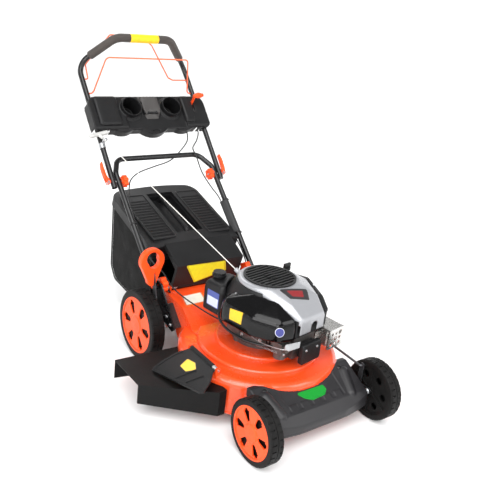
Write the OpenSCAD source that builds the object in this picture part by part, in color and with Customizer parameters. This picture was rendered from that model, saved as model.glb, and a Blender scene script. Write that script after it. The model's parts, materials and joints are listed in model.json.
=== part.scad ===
// Walk-behind petrol rotary mower with rear bag, side chute and folding handle.
// Machine axes: -Y is the front, -X the operator's right, +Z up, ground at z = 0.
// Inside in_frame() the mid-plane is x = 0 and the rear axle is at y = 0.

/* [Running gear] */
// Distance between the front and rear axles
wheelbase = 665; // [620:1:720]
// Front tyre diameter
front_wheel_d = 203; // [180:1:225]
// Rear tyre diameter
rear_wheel_d = 254; // [230:1:290]
// Front tyre width
front_wheel_w = 46; // [36:1:52]
// Rear tyre width
rear_wheel_w = 50; // [40:1:56]
// Distance between the front wheel centres
front_track = 490; // [480:1:540]
// Distance between the rear wheel centres
rear_track = 528; // [522:1:580]
// Depth of the tyre wall outside the cap
tyre_wall = 19; // [14:1:26]
// Tread notches around each shoulder
tread_notches = 30; // [18:2:40]
// Windows in each wheel cap
cap_windows = 6; // [4:1:8]
// Radius of the axle stubs
axle_r = 6; // [5:0.5:8]
// Length of the lift arms from pivot to axle
lift_arm = 40; // [30:1:46]
// Height of the link horns above the lift pivots
horn_h = 75; // [66:1:84]
// Radius of the front cross tube
cross_tube_r = 8; // [6:0.5:9]

/* [Deck] */
// Radius of the round deck
deck_r = 272; // [262:1:280]
// Distance from the rear axle forward to the crankshaft
crank_ahead = 337; // [330:1:350]
// Height of the skirt's lower edge
skirt_z = 48; // [35:1:60]
// Height of the deck's shoulder
shoulder_z = 165; // [155:1:172]
// Height of the engine platform
platform_z = 190; // [182:1:200]
// Radius of the engine platform
platform_r = 150; // [135:1:165]
// Thickness of the pressed sheet
sheet = 3; // [2:0.5:4]
// Half width of the rear tunnel
tunnel_w = 170; // [160:1:176]
// Height of the deck's rear edge
tunnel_z = 232; // [222:1:240]
// Room between the blade's tip and the deck's wall
blade_room = 17; // [14:1:30]
// Blade height above the ground
blade_z = 66; // [60:1:76]
// How far the side chute reaches from the mid-plane
chute_reach = 450; // [420:1:480]
// Wall of the plastic covers
cover_wall = 3.5; // [2.5:0.5:5]

/* [Engine] */
// Turn of the engine about the crankshaft
engine_turn = 9; // [0:1:14]
// Height of the top of the silver shroud
shroud_z = 412; // [400:1:430]
// Radius of the silver shroud's foot
shroud_r = 124; // [116:1:130]
// Radius of the fan grille
grille_r = 88; // [76:1:94]
// Number of grille slots
grille_slots = 11; // [7:2:15]
// Radius of the crankshaft
crank_r = 11; // [9:0.5:13]
// Cooling fins on the cylinder
fin_count = 8; // [5:1:10]

/* [Handle] */
// Radius of the handle tubes
tube_r = 10.5; // [9:0.5:12]
// Half width of the lower handle
lower_w = 218; // [214:1:222]
// Height of the lower handle bolts
lower_z = 266; // [258:1:276]
// Distance of the lower handle bolts behind the rear axle
lower_y = 5; // [0:1:12]
// Slope of the lower handle
lower_angle = 42.8; // [40:0.1:45]
// Length from the lower bolts to the fold bolts
lower_len = 431; // [410:1:450]
// Slope of the upper handle
upper_angle = 47.5; // [44:0.1:51]
// Straight length of the upper handle above the fold bolts
upper_len = 513; // [490:1:540]
// Radius of the foam grip
foam_r = 17; // [14:0.5:20]
// Wire radius of the control bails
bail_r = 2.75; // [2:0.25:4]
// Inner radius of the cup holders
cup_r = 38; // [32:1:42]
// Depth of the cup holders
cup_depth = 76; // [50:1:84]

/* [Bag] */
// Half width of the grass bag
bag_w = 192; // [170:1:200]
// Rear end of the bag's lid behind the rear axle
bag_rear = 440; // [400:1:470]
// Height of the lid's rear edge
bag_top = 475; // [450:1:500]
// Thickness of the bag's wall
bag_wall = 4; // [3:0.5:6]

/* [Hidden] */
$fn = 48;

// Clearances
running = 0.05;
gap = 0.3;

// Wheels and lift
front_r = front_wheel_d / 2;
rear_r = rear_wheel_d / 2;
front_x = front_track / 2;
rear_x = rear_track / 2;
front_y = -wheelbase;
front_inner = front_x - front_wheel_w / 2;
rear_inner = rear_x - rear_wheel_w / 2;
front_pivot_y = front_y + lift_arm;
rear_pivot_y = lift_arm;
arm_t = 4;
hub_r = 17;
hub_short = 14;
nut_r = 9;
nut_h = 7;
pivot_r = 6;
front_arm_x = front_inner - 10;
flange_x = 193;
rear_arm_x = tunnel_w + 4;
lever_x = rear_inner - 3;
horn_x = rear_inner - 17;
link_rear_x = horn_x - 8;
link_front_x = front_arm_x - 6;
link_r = 4;

// Deck
crank_y = -crank_ahead;
deck_fillet = 22;
step_r = deck_r - 62;
step_z = (shoulder_z + platform_z) / 2;
hinge_y = 12;
hinge_z = tunnel_z + 11;
hinge_r = 4;
knuckle_r = 8;
side_hinge_x = 32 - deck_r;
blade_len = 2 * (deck_r - blade_room);
side_hinge_z = shoulder_z + 13;
side_hinge_y0 = crank_y - 103;
side_hinge_y1 = crank_y + 47;
tunnel_left = 105;
bay_left = tunnel_w - sheet;

// Bumper profile in the y-z plane
bumper_nose = front_y - 39;
bumper_w = front_arm_x - 10;
bumper_side = [
  [bumper_nose + 158, 166], [bumper_nose + 140, 168], [bumper_nose + 34, 114], [bumper_nose + 6, 90],
  [bumper_nose, 64], [bumper_nose + 8, 58], [bumper_nose + 60, 62], [bumper_nose + 158, 140]];

// Engine
crankcase_top = 285;
housing_top = 345;
housing_r = shroud_r + 4;
ring_r = shroud_r - 17;
ring_c = [7, -8, 0];
slot_x = 18;
arm_half = 62;
arm_off = 8;
arm_front = 208;
flare = [32, -12];
flare_r = 89;
grille_open = grille_r - 4;
boss_r = 30;
pulley_r = 27;
belt_z = 152;
belt_h = 9;
box_pulley = [139, -52];
box_pulley_r = 23;
adapter_r = 21;
tank_cap = [-68, 150];
stick = [143, 34];

// Handle
lower_dir = [0, cos(lower_angle), sin(lower_angle)];
fold_y = lower_y + lower_len * cos(lower_angle);
fold_z = lower_z + lower_len * sin(lower_angle);
upper_w = lower_w + 2 * tube_r + 2;
bracket_x = lower_w - tube_r - 0.5;
bracket_t = 5;
bolt_r = 4;
handle_rise = 135;
handle_back = 33;
top_half = 121;
bend_r = 60;
upper_path = [
  [-upper_w, -25, 0], [-upper_w, upper_len, 0], [-top_half, upper_len + handle_back, handle_rise],
  [top_half, upper_len + handle_back, handle_rise], [upper_w, upper_len, 0], [upper_w, -25, 0]];
cross_y = fold_y + 90;
cross_z = fold_z + 60;
lower_path = [
  [-lower_w, lower_y - 12 * lower_dir[1], lower_z - 12 * lower_dir[2]],
  [-lower_w, fold_y + 36 * lower_dir[1], fold_z + 36 * lower_dir[2]],
  [-lower_w + 34, cross_y, cross_z], [lower_w - 34, cross_y, cross_z],
  [lower_w, fold_y + 36 * lower_dir[1], fold_z + 36 * lower_dir[2]],
  [lower_w, lower_y - 12 * lower_dir[1], lower_z - 12 * lower_dir[2]]];
brake_s = upper_len - 133;
drive_s = upper_len - 68;
bail_end = upper_w - tube_r + 5;
brake_path = [
  [-bail_end, brake_s, 0], [-215, brake_s, 0], [-182, brake_s + 80, 126],
  [182, brake_s + 80, 126], [215, brake_s, 0], [bail_end, brake_s, 0]];
drive_path = [
  [-bail_end, drive_s, 0], [-217, drive_s, 0], [-208, drive_s + 70, -4], [-121, drive_s + 140, 98],
  [20, drive_s + 140, 98], [66, drive_s + 112, 78], [142, drive_s + 6, 8], [166, drive_s, 0],
  [bail_end, drive_s, 0]];
console_s0 = upper_len - 306;
console_s1 = upper_len - 158;
console_w = upper_w + 20;
cup_s = upper_len - 217;
cup_x = 90;
cup_top = 47;
speed_x = 205;
speed_s = console_s1 - 42;
grip_c = [-252, 190, tube_r + 11.5];
rope_exit = [-57, crank_y + 88, shroud_z - 7];

// Bag and rear flap
lid_front = 84;
lid_front_z = 372;
lid_angle = atan2(bag_top - lid_front_z, bag_rear - lid_front);
lid_len = norm([bag_rear - lid_front, bag_top - lid_front_z]);
lid_skirt = 34;
lid_crown = 14;
lid_arc = (pow(bag_w + 2, 2) + lid_crown * lid_crown) / (2 * lid_crown);
bag_side = [
  [lid_front + 12, lid_front_z - lid_skirt], [bag_rear - 26, bag_top - lid_skirt - 4],
  [bag_rear - 32, 180], [bag_rear - 70, 132], [270, 116], [112, 112], [lid_front - 6, 140]];
cloth_w = bag_w - 3.6;
flap_knee = [-22, 338];
flap_tip = [78, 390.2];
flap_w = 145;
flap_t = 4;

// Where the box centre of the whole machine lies
mid_x = (chute_reach - rear_x - rear_wheel_w / 2) / 2;
rear_end = fold_y + upper_len * cos(upper_angle) + tube_r;
mid_y = (wheelbase + front_r - rear_end) / 2;

// Cord routes in machine axes
brake_route = [
  [150, 454.3, 704.1], [150, 446, 694], [147, 441, 668], [122, 440, 634], [64, 425, 596], [-20, 404, 582],
  [-100, 380, 570],
  [-150, 352, 552], [-174, 318, 526], [-190, 284, 504], [-203, 240, 472], [-203, 180, 416], [-203, 124, 364],
  [-192, 74, 326], [-172, 32, 300], [-166, -20, 270], [-152, -72, 250], [-130, -150, 236], [-110, -230, 230],
  [-95, -284, 234]];
drive_route = [
  [205, 461, 711], [205, 450, 698], [194, 440, 672], [176, 430, 654], [162, 414, 642], [162, 382, 616],
  [168, 340, 562],
  [186, 292, 514], [201, 244, 476], [201, 180, 416], [201, 124, 366], [201, 84, 338], [184, 42, 308],
  [160, 0, 282], [145, -40, 254], [139, -58, 240], [138, -62, 227.8]];
cable_r = 2.5;
rope_r = 1.6;

// Vector and outline helpers
function unit(v) = v / norm(v);
function cross_line(a, u, b, v) = a + u * ((b - a) * [v[1], -v[0]]) / (u * [v[1], -v[0]]);
function area(p) = let (n = len(p), s = [for (i = [0 : n - 1]) cross(p[i], p[(i + 1) % n])])
  s * [for (q = s) 0.5];
function inset(p, d) = let (n = len(p), k = area(p) > 0 ? -d : d) [
  for (i = [0 : n - 1])
    let (a = p[(i + n - 1) % n], b = p[i], c = p[(i + 1) % n], u = unit(b - a), v = unit(c - b))
      cross_line(b + k * [u[1], -u[0]], u, b + k * [v[1], -v[0]], v)];
function curve(p, i, t) = let (
  n = len(p) - 1, a = p[max(i - 1, 0)], b = p[i], c = p[i + 1], d = p[min(i + 2, n)])
    0.5 * (2 * b + (c - a) * t + (2 * a - 5 * b + 4 * c - d) * t * t + (3 * b - a - 3 * c + d) * t * t * t);
function smooth(p, steps) = [
  for (i = [0 : len(p) - 2], k = [0 : steps - 1]) curve(p, i, k / steps), p[len(p) - 1]];
function upper_point(p) = [
  p[0], fold_y + p[1] * cos(upper_angle) - p[2] * sin(upper_angle),
  fold_z + p[1] * sin(upper_angle) + p[2] * cos(upper_angle)];

// Placing helpers
module in_frame() { translate([mid_x, mid_y, 0]) children(); }
module on_engine() { translate([0, crank_y, 0]) rotate([0, 0, engine_turn]) children(); }
module on_upper() { translate([0, fold_y, fold_z]) rotate([upper_angle, 0, 0]) children(); }
module on_lid() { translate([0, lid_front, lid_front_z]) rotate([lid_angle, 0, 0]) children(); }
module both_sides() { for (s = [0, 1]) mirror([s, 0, 0]) children(); }
module along_x(x0, x1) { translate([x0, 0, 0]) rotate([90, 0, 90]) linear_extrude(x1 - x0) children(); }
module pin_x(x0, x1, y, z, r) { translate([x0, y, z]) rotate([0, 90, 0]) cylinder(r = r, h = x1 - x0); }

// Rod from a to b
module rod(a, b, r) {
  d = b - a;
  translate(a) rotate([0, acos(d[2] / norm(d)), atan2(d[1], d[0])]) cylinder(r = r, h = norm(d));
}

// Bent tube along straight runs with round corners
module bent_tube(p, r, bend) {
  n = len(p) - 1;
  dirs = [for (i = [0 : n - 1]) unit(p[i + 1] - p[i])];
  cut = [for (i = [0 : n])
    i == 0 || i == n ? 0 : bend * tan(acos(min(1, dirs[i - 1] * dirs[i])) / 2)];
  for (i = [0 : n - 1])
    rod(
      p[i] + dirs[i] * (cut[i] - (i > 0 ? gap : 0)),
      p[i + 1] - dirs[i] * (cut[i + 1] - (i < n - 1 ? gap : 0)), r);
  for (i = [1 : n - 1]) {
    u = dirs[i - 1];
    turn = acos(u * dirs[i]);
    axis = unit(cross(u, dirs[i]));
    side = cross(axis, u);
    start = p[i] - u * cut[i];
    middle = start + side * bend;
    multmatrix([
      [-side[0], u[0], axis[0], middle[0]], [-side[1], u[1], axis[1], middle[1]],
      [-side[2], u[2], axis[2], middle[2]], [0, 0, 0, 1]])
      rotate_extrude(angle = turn) translate([bend, 0]) circle(r + running);
  }
}

// Flexible cord swept along a list of points
module cord(p, r, sides) {
  n = len(p);
  rings = [for (i = [0 : n - 1])
    let (
      t = unit(p[min(i + 1, n - 1)] - p[max(i - 1, 0)]),
      a = unit(cross(abs(t[2]) < 0.9 ? [0, 0, 1] : [1, 0, 0], t)),
      b = cross(t, a))
      [for (k = [0 : sides - 1]) p[i] + r * (a * cos(360 * k / sides) + b * sin(360 * k / sides))]];
  points = [for (ring = rings, q = ring) q];
  walls = [for (i = [0 : n - 2], k = [0 : sides - 1])
    let (k2 = (k + 1) % sides, a = i * sides, b = (i + 1) * sides)
      for (f = [[a + k, b + k2, a + k2], [a + k, b + k, b + k2]]) f];
  start = [for (k = [1 : sides - 2]) [0, k, k + 1]];
  stop = [for (k = [1 : sides - 2]) let (a = (n - 1) * sides) [a, a + k + 1, a + k]];
  polyhedron(points, concat(walls, start, stop));
}

// Outline that follows a rounded shoulder for a revolved pressing
module pressed(r, z, fillet) {
  square([r, z - fillet]);
  square([r - fillet, z]);
  translate([r - fillet, z - fillet]) circle(fillet);
}

// Round outline with a straight arm towards the front
module housing_plan(r, half, front) {
  circle(r);
  translate([arm_off - half, -front]) square([2 * half, front]);
}

// Deck
module deck_outer() {
  translate([0, crank_y, skirt_z]) rotate_extrude() {
    pressed(deck_r, shoulder_z - skirt_z, deck_fillet);
    pressed(step_r, step_z - skirt_z, 8);
    pressed(platform_r, platform_z - skirt_z, 8);
  }
}
module deck_inner() {
  translate([0, crank_y, skirt_z - 20]) rotate_extrude() {
    pressed(deck_r - sheet, shoulder_z - skirt_z + 20 - sheet, deck_fillet - sheet);
    pressed(step_r - sheet, step_z - skirt_z + 20 - sheet, 8 - sheet);
    pressed(platform_r - sheet, platform_z - skirt_z + 20 - sheet, 8 - sheet);
  }
}
tunnel_side = [
  [crank_y + 60, 100], [-95, 100], [-58, 150], [hinge_y, 158], [hinge_y, tunnel_z], [-112, tunnel_z - 8],
  [-190, shoulder_z + 6], [crank_y + 60, shoulder_z]];
snout_side = [
  [front_y + 172, 84], [front_y + 172, 146], [bumper_side[0][0] - 6, bumper_side[0][1] - 10],
  inset(bumper_side, cover_wall + gap)[1], inset(bumper_side, cover_wall + gap)[2], [bumper_nose + 26, 84]];
module deck() {
  color("orangered") in_frame() {
    difference() {
      union() {
        deck_outer();
        along_x(-tunnel_w, tunnel_w) polygon(tunnel_side);
        translate([0, crank_y, skirt_z]) cylinder(r = deck_r + 5, h = sheet);
      }
      deck_inner();
      along_x(-tunnel_w + sheet, tunnel_left) polygon(concat(
        [[crank_y + 40, 103], [-97, 103], [-60, 153], [hinge_y + 1, 161], [hinge_y + 1, tunnel_z - sheet]],
        [[-111, tunnel_z - 8 - sheet], [-189, shoulder_z + 6 - sheet], [crank_y + 40, shoulder_z - sheet]]));
      along_x(tunnel_left + sheet, bay_left) polygon([
        [-118, 90], [hinge_y + 1, 90], [hinge_y + 1, tunnel_z - sheet], [-111, tunnel_z - 8 - sheet],
        [-118, tunnel_z - 12 - sheet]]);
      translate([0, crank_y, 0]) cylinder(r = boss_r + 6, h = platform_z + 10);
      translate([-deck_r - 20, side_hinge_y0 + 8, 64])
        cube([60, side_hinge_y1 - side_hinge_y0 - 16, 76]);
      translate([40, -200, belt_z - 8]) cube([118, 150, 16]);
    }
    difference() {
      along_x(-flange_x, flange_x) polygon(snout_side);
      along_x(-flange_x + sheet, flange_x - sheet) polygon(concat(
        [[front_y + 200, 70], [front_y + 200, 143]],
        [for (i = [2 : 4]) snout_side[i] + [0, -sheet]], [[bumper_nose + 26 + sheet, 70]]));
      translate([0, crank_y, 0]) cylinder(r = deck_r, h = shoulder_z - deck_fillet);
      deck_outer();
      pin_x(-flange_x - 1, flange_x + 1, front_pivot_y, front_r, cross_tube_r + running);
    }
    both_sides() {
      translate([tunnel_w - sheet, -20, 100])
        difference() {
          cube([sheet, hinge_y + 60, 100]);
          pin_x(-1, sheet + 1, rear_pivot_y + 20, rear_r - 100, pivot_r);
          translate([-1, 20 - axle_r - 3, -1]) cube([sheet + 2, 2 * axle_r + 8, rear_r - 100 + axle_r + 21]);
        }
      translate([flap_w + 3, 0, tunnel_z - sheet]) difference() {
        translate([0, hinge_y - 9, 0]) cube([6, 18, hinge_z - tunnel_z + sheet + 8]);
        pin_x(-1, 7, hinge_y, hinge_z - tunnel_z + sheet, hinge_r);
      }
    }
    for (y = [side_hinge_y0 - 7, side_hinge_y1 + 1])
      difference() {
        translate([side_hinge_x - 8, y, shoulder_z - 30]) cube([16, 6, side_hinge_z - shoulder_z + 38]);
        translate([side_hinge_x, y - 1, side_hinge_z]) rotate([-90, 0, 0]) cylinder(r = hinge_r, h = 8);
        deck_inner();
      }
  }
}

// Front bumper
module bumper_plan(wall) {
  corner = 22;
  r = corner - wall;
  y = bumper_nose + 4 + corner;
  right = [for (i = [0 : 6]) [bumper_w - corner + r * cos(15 * i), y - r * sin(15 * i)]];
  left = [for (i = [6 : -1 : 0]) [-right[i][0], right[i][1]]];
  intersection() {
    polygon(concat([[bumper_w - wall, y + 200]], right, left, [[wall - bumper_w, y + 200]]));
    translate([0, bumper_nose + 900]) circle(900 - wall, $fn = 360);
  }
}
module front_bumper() {
  slope = atan2(bumper_side[1][1] - bumper_side[2][1], bumper_side[1][0] - bumper_side[2][0]);
  color("#26272a") in_frame() difference() {
    union() {
      intersection() {
        along_x(-bumper_w, bumper_w) polygon(bumper_side);
        linear_extrude(200) bumper_plan(0);
      }
      translate([0, bumper_side[2][0], bumper_side[2][1]]) rotate([slope, 0, 0]) both_sides() intersection() {
        hull() {
          translate([144, 10, -13]) sphere(r = 20, $fn = 32);
          translate([164, 84, -12]) sphere(r = 22, $fn = 32);
        }
        translate([0, -40, -2]) cube([300, 300, 60]);
      }
    }
    intersection() {
      along_x(-bumper_w, bumper_w) polygon(concat(
        [for (i = [1 : 4]) inset(bumper_side, cover_wall)[i]],
        [[bumper_nose + cover_wall + 2, 40], [bumper_nose + 170, 40],
          [bumper_nose + 170, 166 - cover_wall]]));
      linear_extrude(200) bumper_plan(cover_wall);
    }
    translate([0, bumper_side[2][0], bumper_side[2][1]]) rotate([slope, 0, 0]) {
      difference() {
        translate([-116, 10, -1.6]) cube([232, 110, 6]);
        for (i = [-2 : 2]) translate([i * 46 - 14, 9, -2]) cube([28, 22, 8]);
      }
    }
    translate([0, 0, bumper_side[4][1] + 5]) linear_extrude(3) difference() {
      bumper_plan(-2);
      bumper_plan(2.6);
      translate([-400, bumper_nose + 60]) square([800, 300]);
    }
    both_sides() translate([bumper_w - 46, bumper_side[1][0] - 16, 100]) cylinder(r = 7, h = 90);
    translate([0, crank_y, 0]) cylinder(r = deck_r + gap, h = shoulder_z + 10);
    pin_x(-bumper_w - 1, bumper_w + 1, front_pivot_y, front_r, cross_tube_r + 2);
    translate([-bumper_w - 1, front_pivot_y - cross_tube_r - 2, 40])
      cube([2 * bumper_w + 2, 2 * cross_tube_r + 4, front_r - 40]);
  }
}

// Handle brackets on the deck's rear corners
module handle_brackets() {
  plate = [[lower_y + 18, lower_z + 6], [lower_y + 4, lower_z + 18], [lower_y - 26, lower_z + 12],
    [-126, 150], [-112, 138], [-62, 150], [lower_y + 20, lower_z - 40]];
  color("#1b1c1f") in_frame() both_sides() difference() {
    union() {
      along_x(bracket_x - bracket_t, bracket_x) polygon(plate);
      along_x(tunnel_w, bracket_x) polygon([[-116, 150], [-70, 160], [-30, 206], [-48, 214]]);
    }
    pin_x(bracket_x - bracket_t - 1, bracket_x + 1, lower_y, lower_z, bolt_r + running);
    for (a = [-24 : 12 : 12])
      translate([0, -52 + a, 222 + 0.7 * a]) pin_x(bracket_x - bracket_t - 1, bracket_x + 1, 0, 0, 3);
  }
}

// Pins on which the flaps and lift arms turn
module hinge_pins() {
  color("silver") in_frame() {
    pin_x(-flap_w - 11, flap_w + 11, hinge_y, hinge_z, hinge_r - running);
    translate([side_hinge_x, side_hinge_y0 - 10, side_hinge_z]) rotate([-90, 0, 0])
      cylinder(r = hinge_r - running, h = side_hinge_y1 - side_hinge_y0 + 20);
    both_sides() {
      pin_x(tunnel_w - sheet - 4, rear_arm_x + arm_t + 1.5, rear_pivot_y, rear_r, pivot_r - running);
      pin_x(rear_arm_x + arm_t + 0.5, rear_arm_x + arm_t + 5, rear_pivot_y, rear_r, pivot_r + 4);
    }
  }
}

// Torsion springs wound around the flap pins
spring_turns = 5;
spring_wire = 1.2;
spring_coil = hinge_r + spring_wire + 0.4;
spring_pitch = 3.1;
function spring_points() = [for (i = [0 : 8 * spring_turns])
  [spring_pitch * i / 8, spring_coil * cos(45 * i), spring_coil * sin(45 * i)]];
module flap_springs() {
  p = spring_points();
  echo(least_spring_gap = spring_pitch - 2 * spring_wire);
  color("#9a9da2") in_frame() {
    both_sides() translate([flap_w - 22, hinge_y, hinge_z]) cord(p, spring_wire, 6);
    translate([side_hinge_x, side_hinge_y0 + 4, side_hinge_z]) rotate([0, 0, 90]) cord(p, spring_wire, 6);
  }
}

// Rear flap lifted onto the bag
module rear_flap() {
  run = [[hinge_y - knuckle_r + 1, hinge_z + 2], flap_knee, flap_tip];
  back = unit(flap_tip - flap_knee);
  color("#222326") in_frame() {
    difference() {
      union() {
        along_x(-flap_w, flap_w) polygon([
          run[0], run[1], run[2], run[2] + flap_t * [back[1], -back[0]], run[1] + [flap_t + 1, -flap_t],
          run[0] + [flap_t + 1, 0]]);
        along_x(-flap_w + 26, flap_w - 26) translate([hinge_y, hinge_z]) circle(knuckle_r);
        for (x = [-flap_w, -flap_w / 2 - 2, 0, flap_w / 2 - 2, flap_w - 4])
          along_x(x, x + 4) polygon([
            run[0], run[1], run[2], run[2] - 16 * [0, 1], run[1] + [18, -16], run[0] + [10, 12]]);
      }
      pin_x(-flap_w - 1, flap_w + 1, hinge_y, hinge_z, hinge_r + running);
      both_sides() pin_x(flap_w - 26, flap_w + 1, hinge_y, hinge_z, spring_coil + spring_wire + 1);
    }
  }
}

// Side flap lifted by the chute
side_plan = [
  [0, side_hinge_y1 - 2], [0, side_hinge_y0 + 2], [-12, side_hinge_y0 + 2], [-50, side_hinge_y0 - 38],
  [-88, side_hinge_y0 - 60], [-98, side_hinge_y0 - 50], [-148, side_hinge_y1], [-138, side_hinge_y1 + 8],
  [-60, side_hinge_y1 + 6]];
side_crown = 340;
module side_skin(top, thick) {
  translate([-20, side_hinge_y0 - 100, top - side_crown]) rotate([-90, 0, 0]) difference() {
    cylinder(r = side_crown, h = 300, $fn = 360);
    translate([0, 0, -1]) cylinder(r = side_crown - thick, h = 302, $fn = 360);
  }
}
module side_flap() {
  color("#222326") in_frame() difference() {
    union() {
      translate([side_hinge_x, 0, side_hinge_z]) rotate([0, -10, 0]) {
        intersection() {
          translate([0, 0, -60]) linear_extrude(90) polygon(side_plan);
          side_skin(1, 4);
        }
        intersection() {
          translate([0, 0, -60]) linear_extrude(90) difference() {
            polygon(side_plan);
            polygon(inset(side_plan, 7));
            translate([-34, side_hinge_y0 - 100]) square([60, 300]);
          }
          side_skin(3, 4);
        }
        for (k = [0, 1]) intersection() {
          translate([-126 + 22 * k, side_hinge_y0 + 60 - 44 * k, -60]) rotate([0, 0, -18])
            cube([76 - 20 * k, 5, 90]);
          side_skin(4, 5);
        }
      }
      translate([side_hinge_x, side_hinge_y0 + 24, side_hinge_z]) rotate([-90, 0, 0])
        cylinder(r = knuckle_r, h = side_hinge_y1 - side_hinge_y0 - 26);
    }
    translate([side_hinge_x, side_hinge_y0 - 60, side_hinge_z]) rotate([-90, 0, 0])
      cylinder(r = hinge_r + running, h = 300);
    translate([side_hinge_x, side_hinge_y0 - 60, side_hinge_z]) rotate([-90, 0, 0])
      cylinder(r = spring_coil + spring_wire + 1, h = 84);
  }
}

// Side discharge chute
module discharge_chute() {
  side = deck_r - 36;
  plan = [[-chute_reach, -165], [-chute_reach, -328], [-side - 26, -496], [-side, -496], [-side, -206]];
  inner = inset(plan, 3);
  roof = [[-chute_reach, 0], [-chute_reach, 117], [6 - side, 137], [6 - side, 0]];
  color("#1f2023") in_frame() difference() {
    intersection() {
      linear_extrude(160) polygon(plan);
      translate([0, 0, 0]) rotate([90, 0, 0]) linear_extrude(600) polygon(roof);
      translate([-600, -600, 50]) cube([700, 600, 200]);
    }
    intersection() {
      linear_extrude(160) polygon([
        inner[0] + 14 * unit(inner[0] - inner[4]), inner[1] + 14 * unit(inner[1] - inner[2]), inner[2],
        inner[3] + [9, 0], inner[4] + [9, 0]]);
      rotate([90, 0, 0]) linear_extrude(600) polygon([for (q = roof) q - [0, 3]]);
    }
    translate([0, crank_y, -10]) cylinder(r = deck_r + 5 + gap, h = 90);
    translate([0, crank_y, 0]) cylinder(r = deck_r + gap, h = 200);
  }
}

// Grass bag
function bag_front(z) = let (a = bag_side[6], b = bag_side[0])
  a[0] + (z - a[1]) * (b[0] - a[0]) / (b[1] - a[1]);
module bag_cloth() {
  inner = inset(bag_side, bag_wall);
  color("#1d1d1f") in_frame() difference() {
    along_x(-cloth_w, cloth_w) polygon(bag_side);
    along_x(-cloth_w + bag_wall, cloth_w - bag_wall) polygon(inner);
    along_x(-cloth_w + 22, cloth_w - 22) polygon([[60, 168], [130, 168], [130, 320], [60, 320]]);
    along_x(-cloth_w + bag_wall, cloth_w - bag_wall)
      polygon([inner[0], inner[1], inner[1] + [0, 20], inner[0] + [0, 20]]);
  }
}
module lid_plan(wall) {
  w = bag_w + 2 - wall;
  r = 46 - wall;
  translate([-w, wall]) square([2 * w, lid_len - 46 - wall]);
  translate([-w + r, wall]) square([2 * w - 2 * r, lid_len - 2 * wall]);
  both_sides() translate([w - r, lid_len - 46]) circle(r);
}
module bag_lid() {
  color("#242528") in_frame() on_lid() difference() {
    union() {
      intersection() {
        translate([0, 0, -lid_skirt]) linear_extrude(lid_skirt + lid_crown) lid_plan(0);
        translate([0, -1, lid_crown - lid_arc]) rotate([-90, 0, 0])
          cylinder(r = lid_arc, h = lid_len + 2, $fn = 360);
      }
      both_sides() translate([bag_w - 118, 36, 0]) cube([96, lid_len - 84, 12]);
    }
    translate([0, 0, -lid_skirt - 1]) linear_extrude(lid_skirt + 1 - cover_wall) lid_plan(cover_wall);
    both_sides() {
      for (i = [0 : 13])
        translate([bag_w - 112, 50 + i * 17, -10]) cube([84, 9, 30]);
    }
    translate([-58, 60, -24]) cube([116, lid_len - 110, 40]);
  }
  color("#242528") in_frame() on_lid() {
    difference() {
      translate([-58, 60, -24]) cube([116, lid_len - 110, 24]);
      translate([-55, 63, -21]) cube([110, lid_len - 116, 40]);
    }
    bent_tube([[0, 70, -22], [0, 84, 4], [0, lid_len - 74, 4], [0, lid_len - 60, -22]], 9, 12);
  }
}
module bag_frame() {
  r = 4;
  z0 = 154;
  z1 = lid_front_z - lid_skirt - 12;
  hook_z = tunnel_z + r + gap;
  hook_x = tunnel_w - 10;
  in_y = bag_wall + r + 0.6;
  x0 = cloth_w - bag_wall - r - gap;
  color("#303236") in_frame() both_sides() {
    bent_tube([
      [0, bag_front(z0) + in_y, z0], [x0, bag_front(z0) + in_y, z0], [x0, bag_front(z1) + in_y, z1],
      [0, bag_front(z1) + in_y, z1]], r, 14);
    hook_y = bag_front(hook_z) + in_y;
    bent_tube([[x0, hook_y, hook_z], [hook_x, hook_y, hook_z], [hook_x, hinge_y - 20, hook_z]], r, 7);
  }
}

// Cranked front axle with cross tube, arms, horn and stubs
module arm_plan(a, b, r) {
  d = b - a;
  translate(a) circle(r);
  translate(b) circle(r);
  translate(a) rotate(atan2(d[1], d[0])) translate([0, 0.1 - r]) square([norm(d), 2 * r - 0.2]);
}
module flat_arm(x, a, b, r) {
  along_x(x, x + arm_t) arm_plan(a, b, r);
}
module front_axle() {
  stub = front_x + front_wheel_w / 2 - hub_short;
  color("#3a3c40") in_frame() {
    pin_x(-front_arm_x, front_arm_x, front_pivot_y, front_r, cross_tube_r);
    both_sides() {
      flat_arm(front_arm_x, [front_pivot_y, front_r], [front_y, front_r], 12);
      pin_x(front_arm_x, stub + gap + nut_h, front_y, front_r, axle_r);
      pin_x(front_arm_x + arm_t, front_inner - gap, front_y, front_r, axle_r + 4);
      pin_x(stub + gap, stub + gap + nut_h, front_y, front_r, nut_r);
    }
    difference() {
      flat_arm(front_arm_x, [front_pivot_y, front_r], [front_pivot_y, front_r + horn_h], 9);
      pin_x(front_arm_x - 1, front_arm_x + arm_t + 1, front_pivot_y, front_r + horn_h, link_r + running);
    }
  }
}
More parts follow.
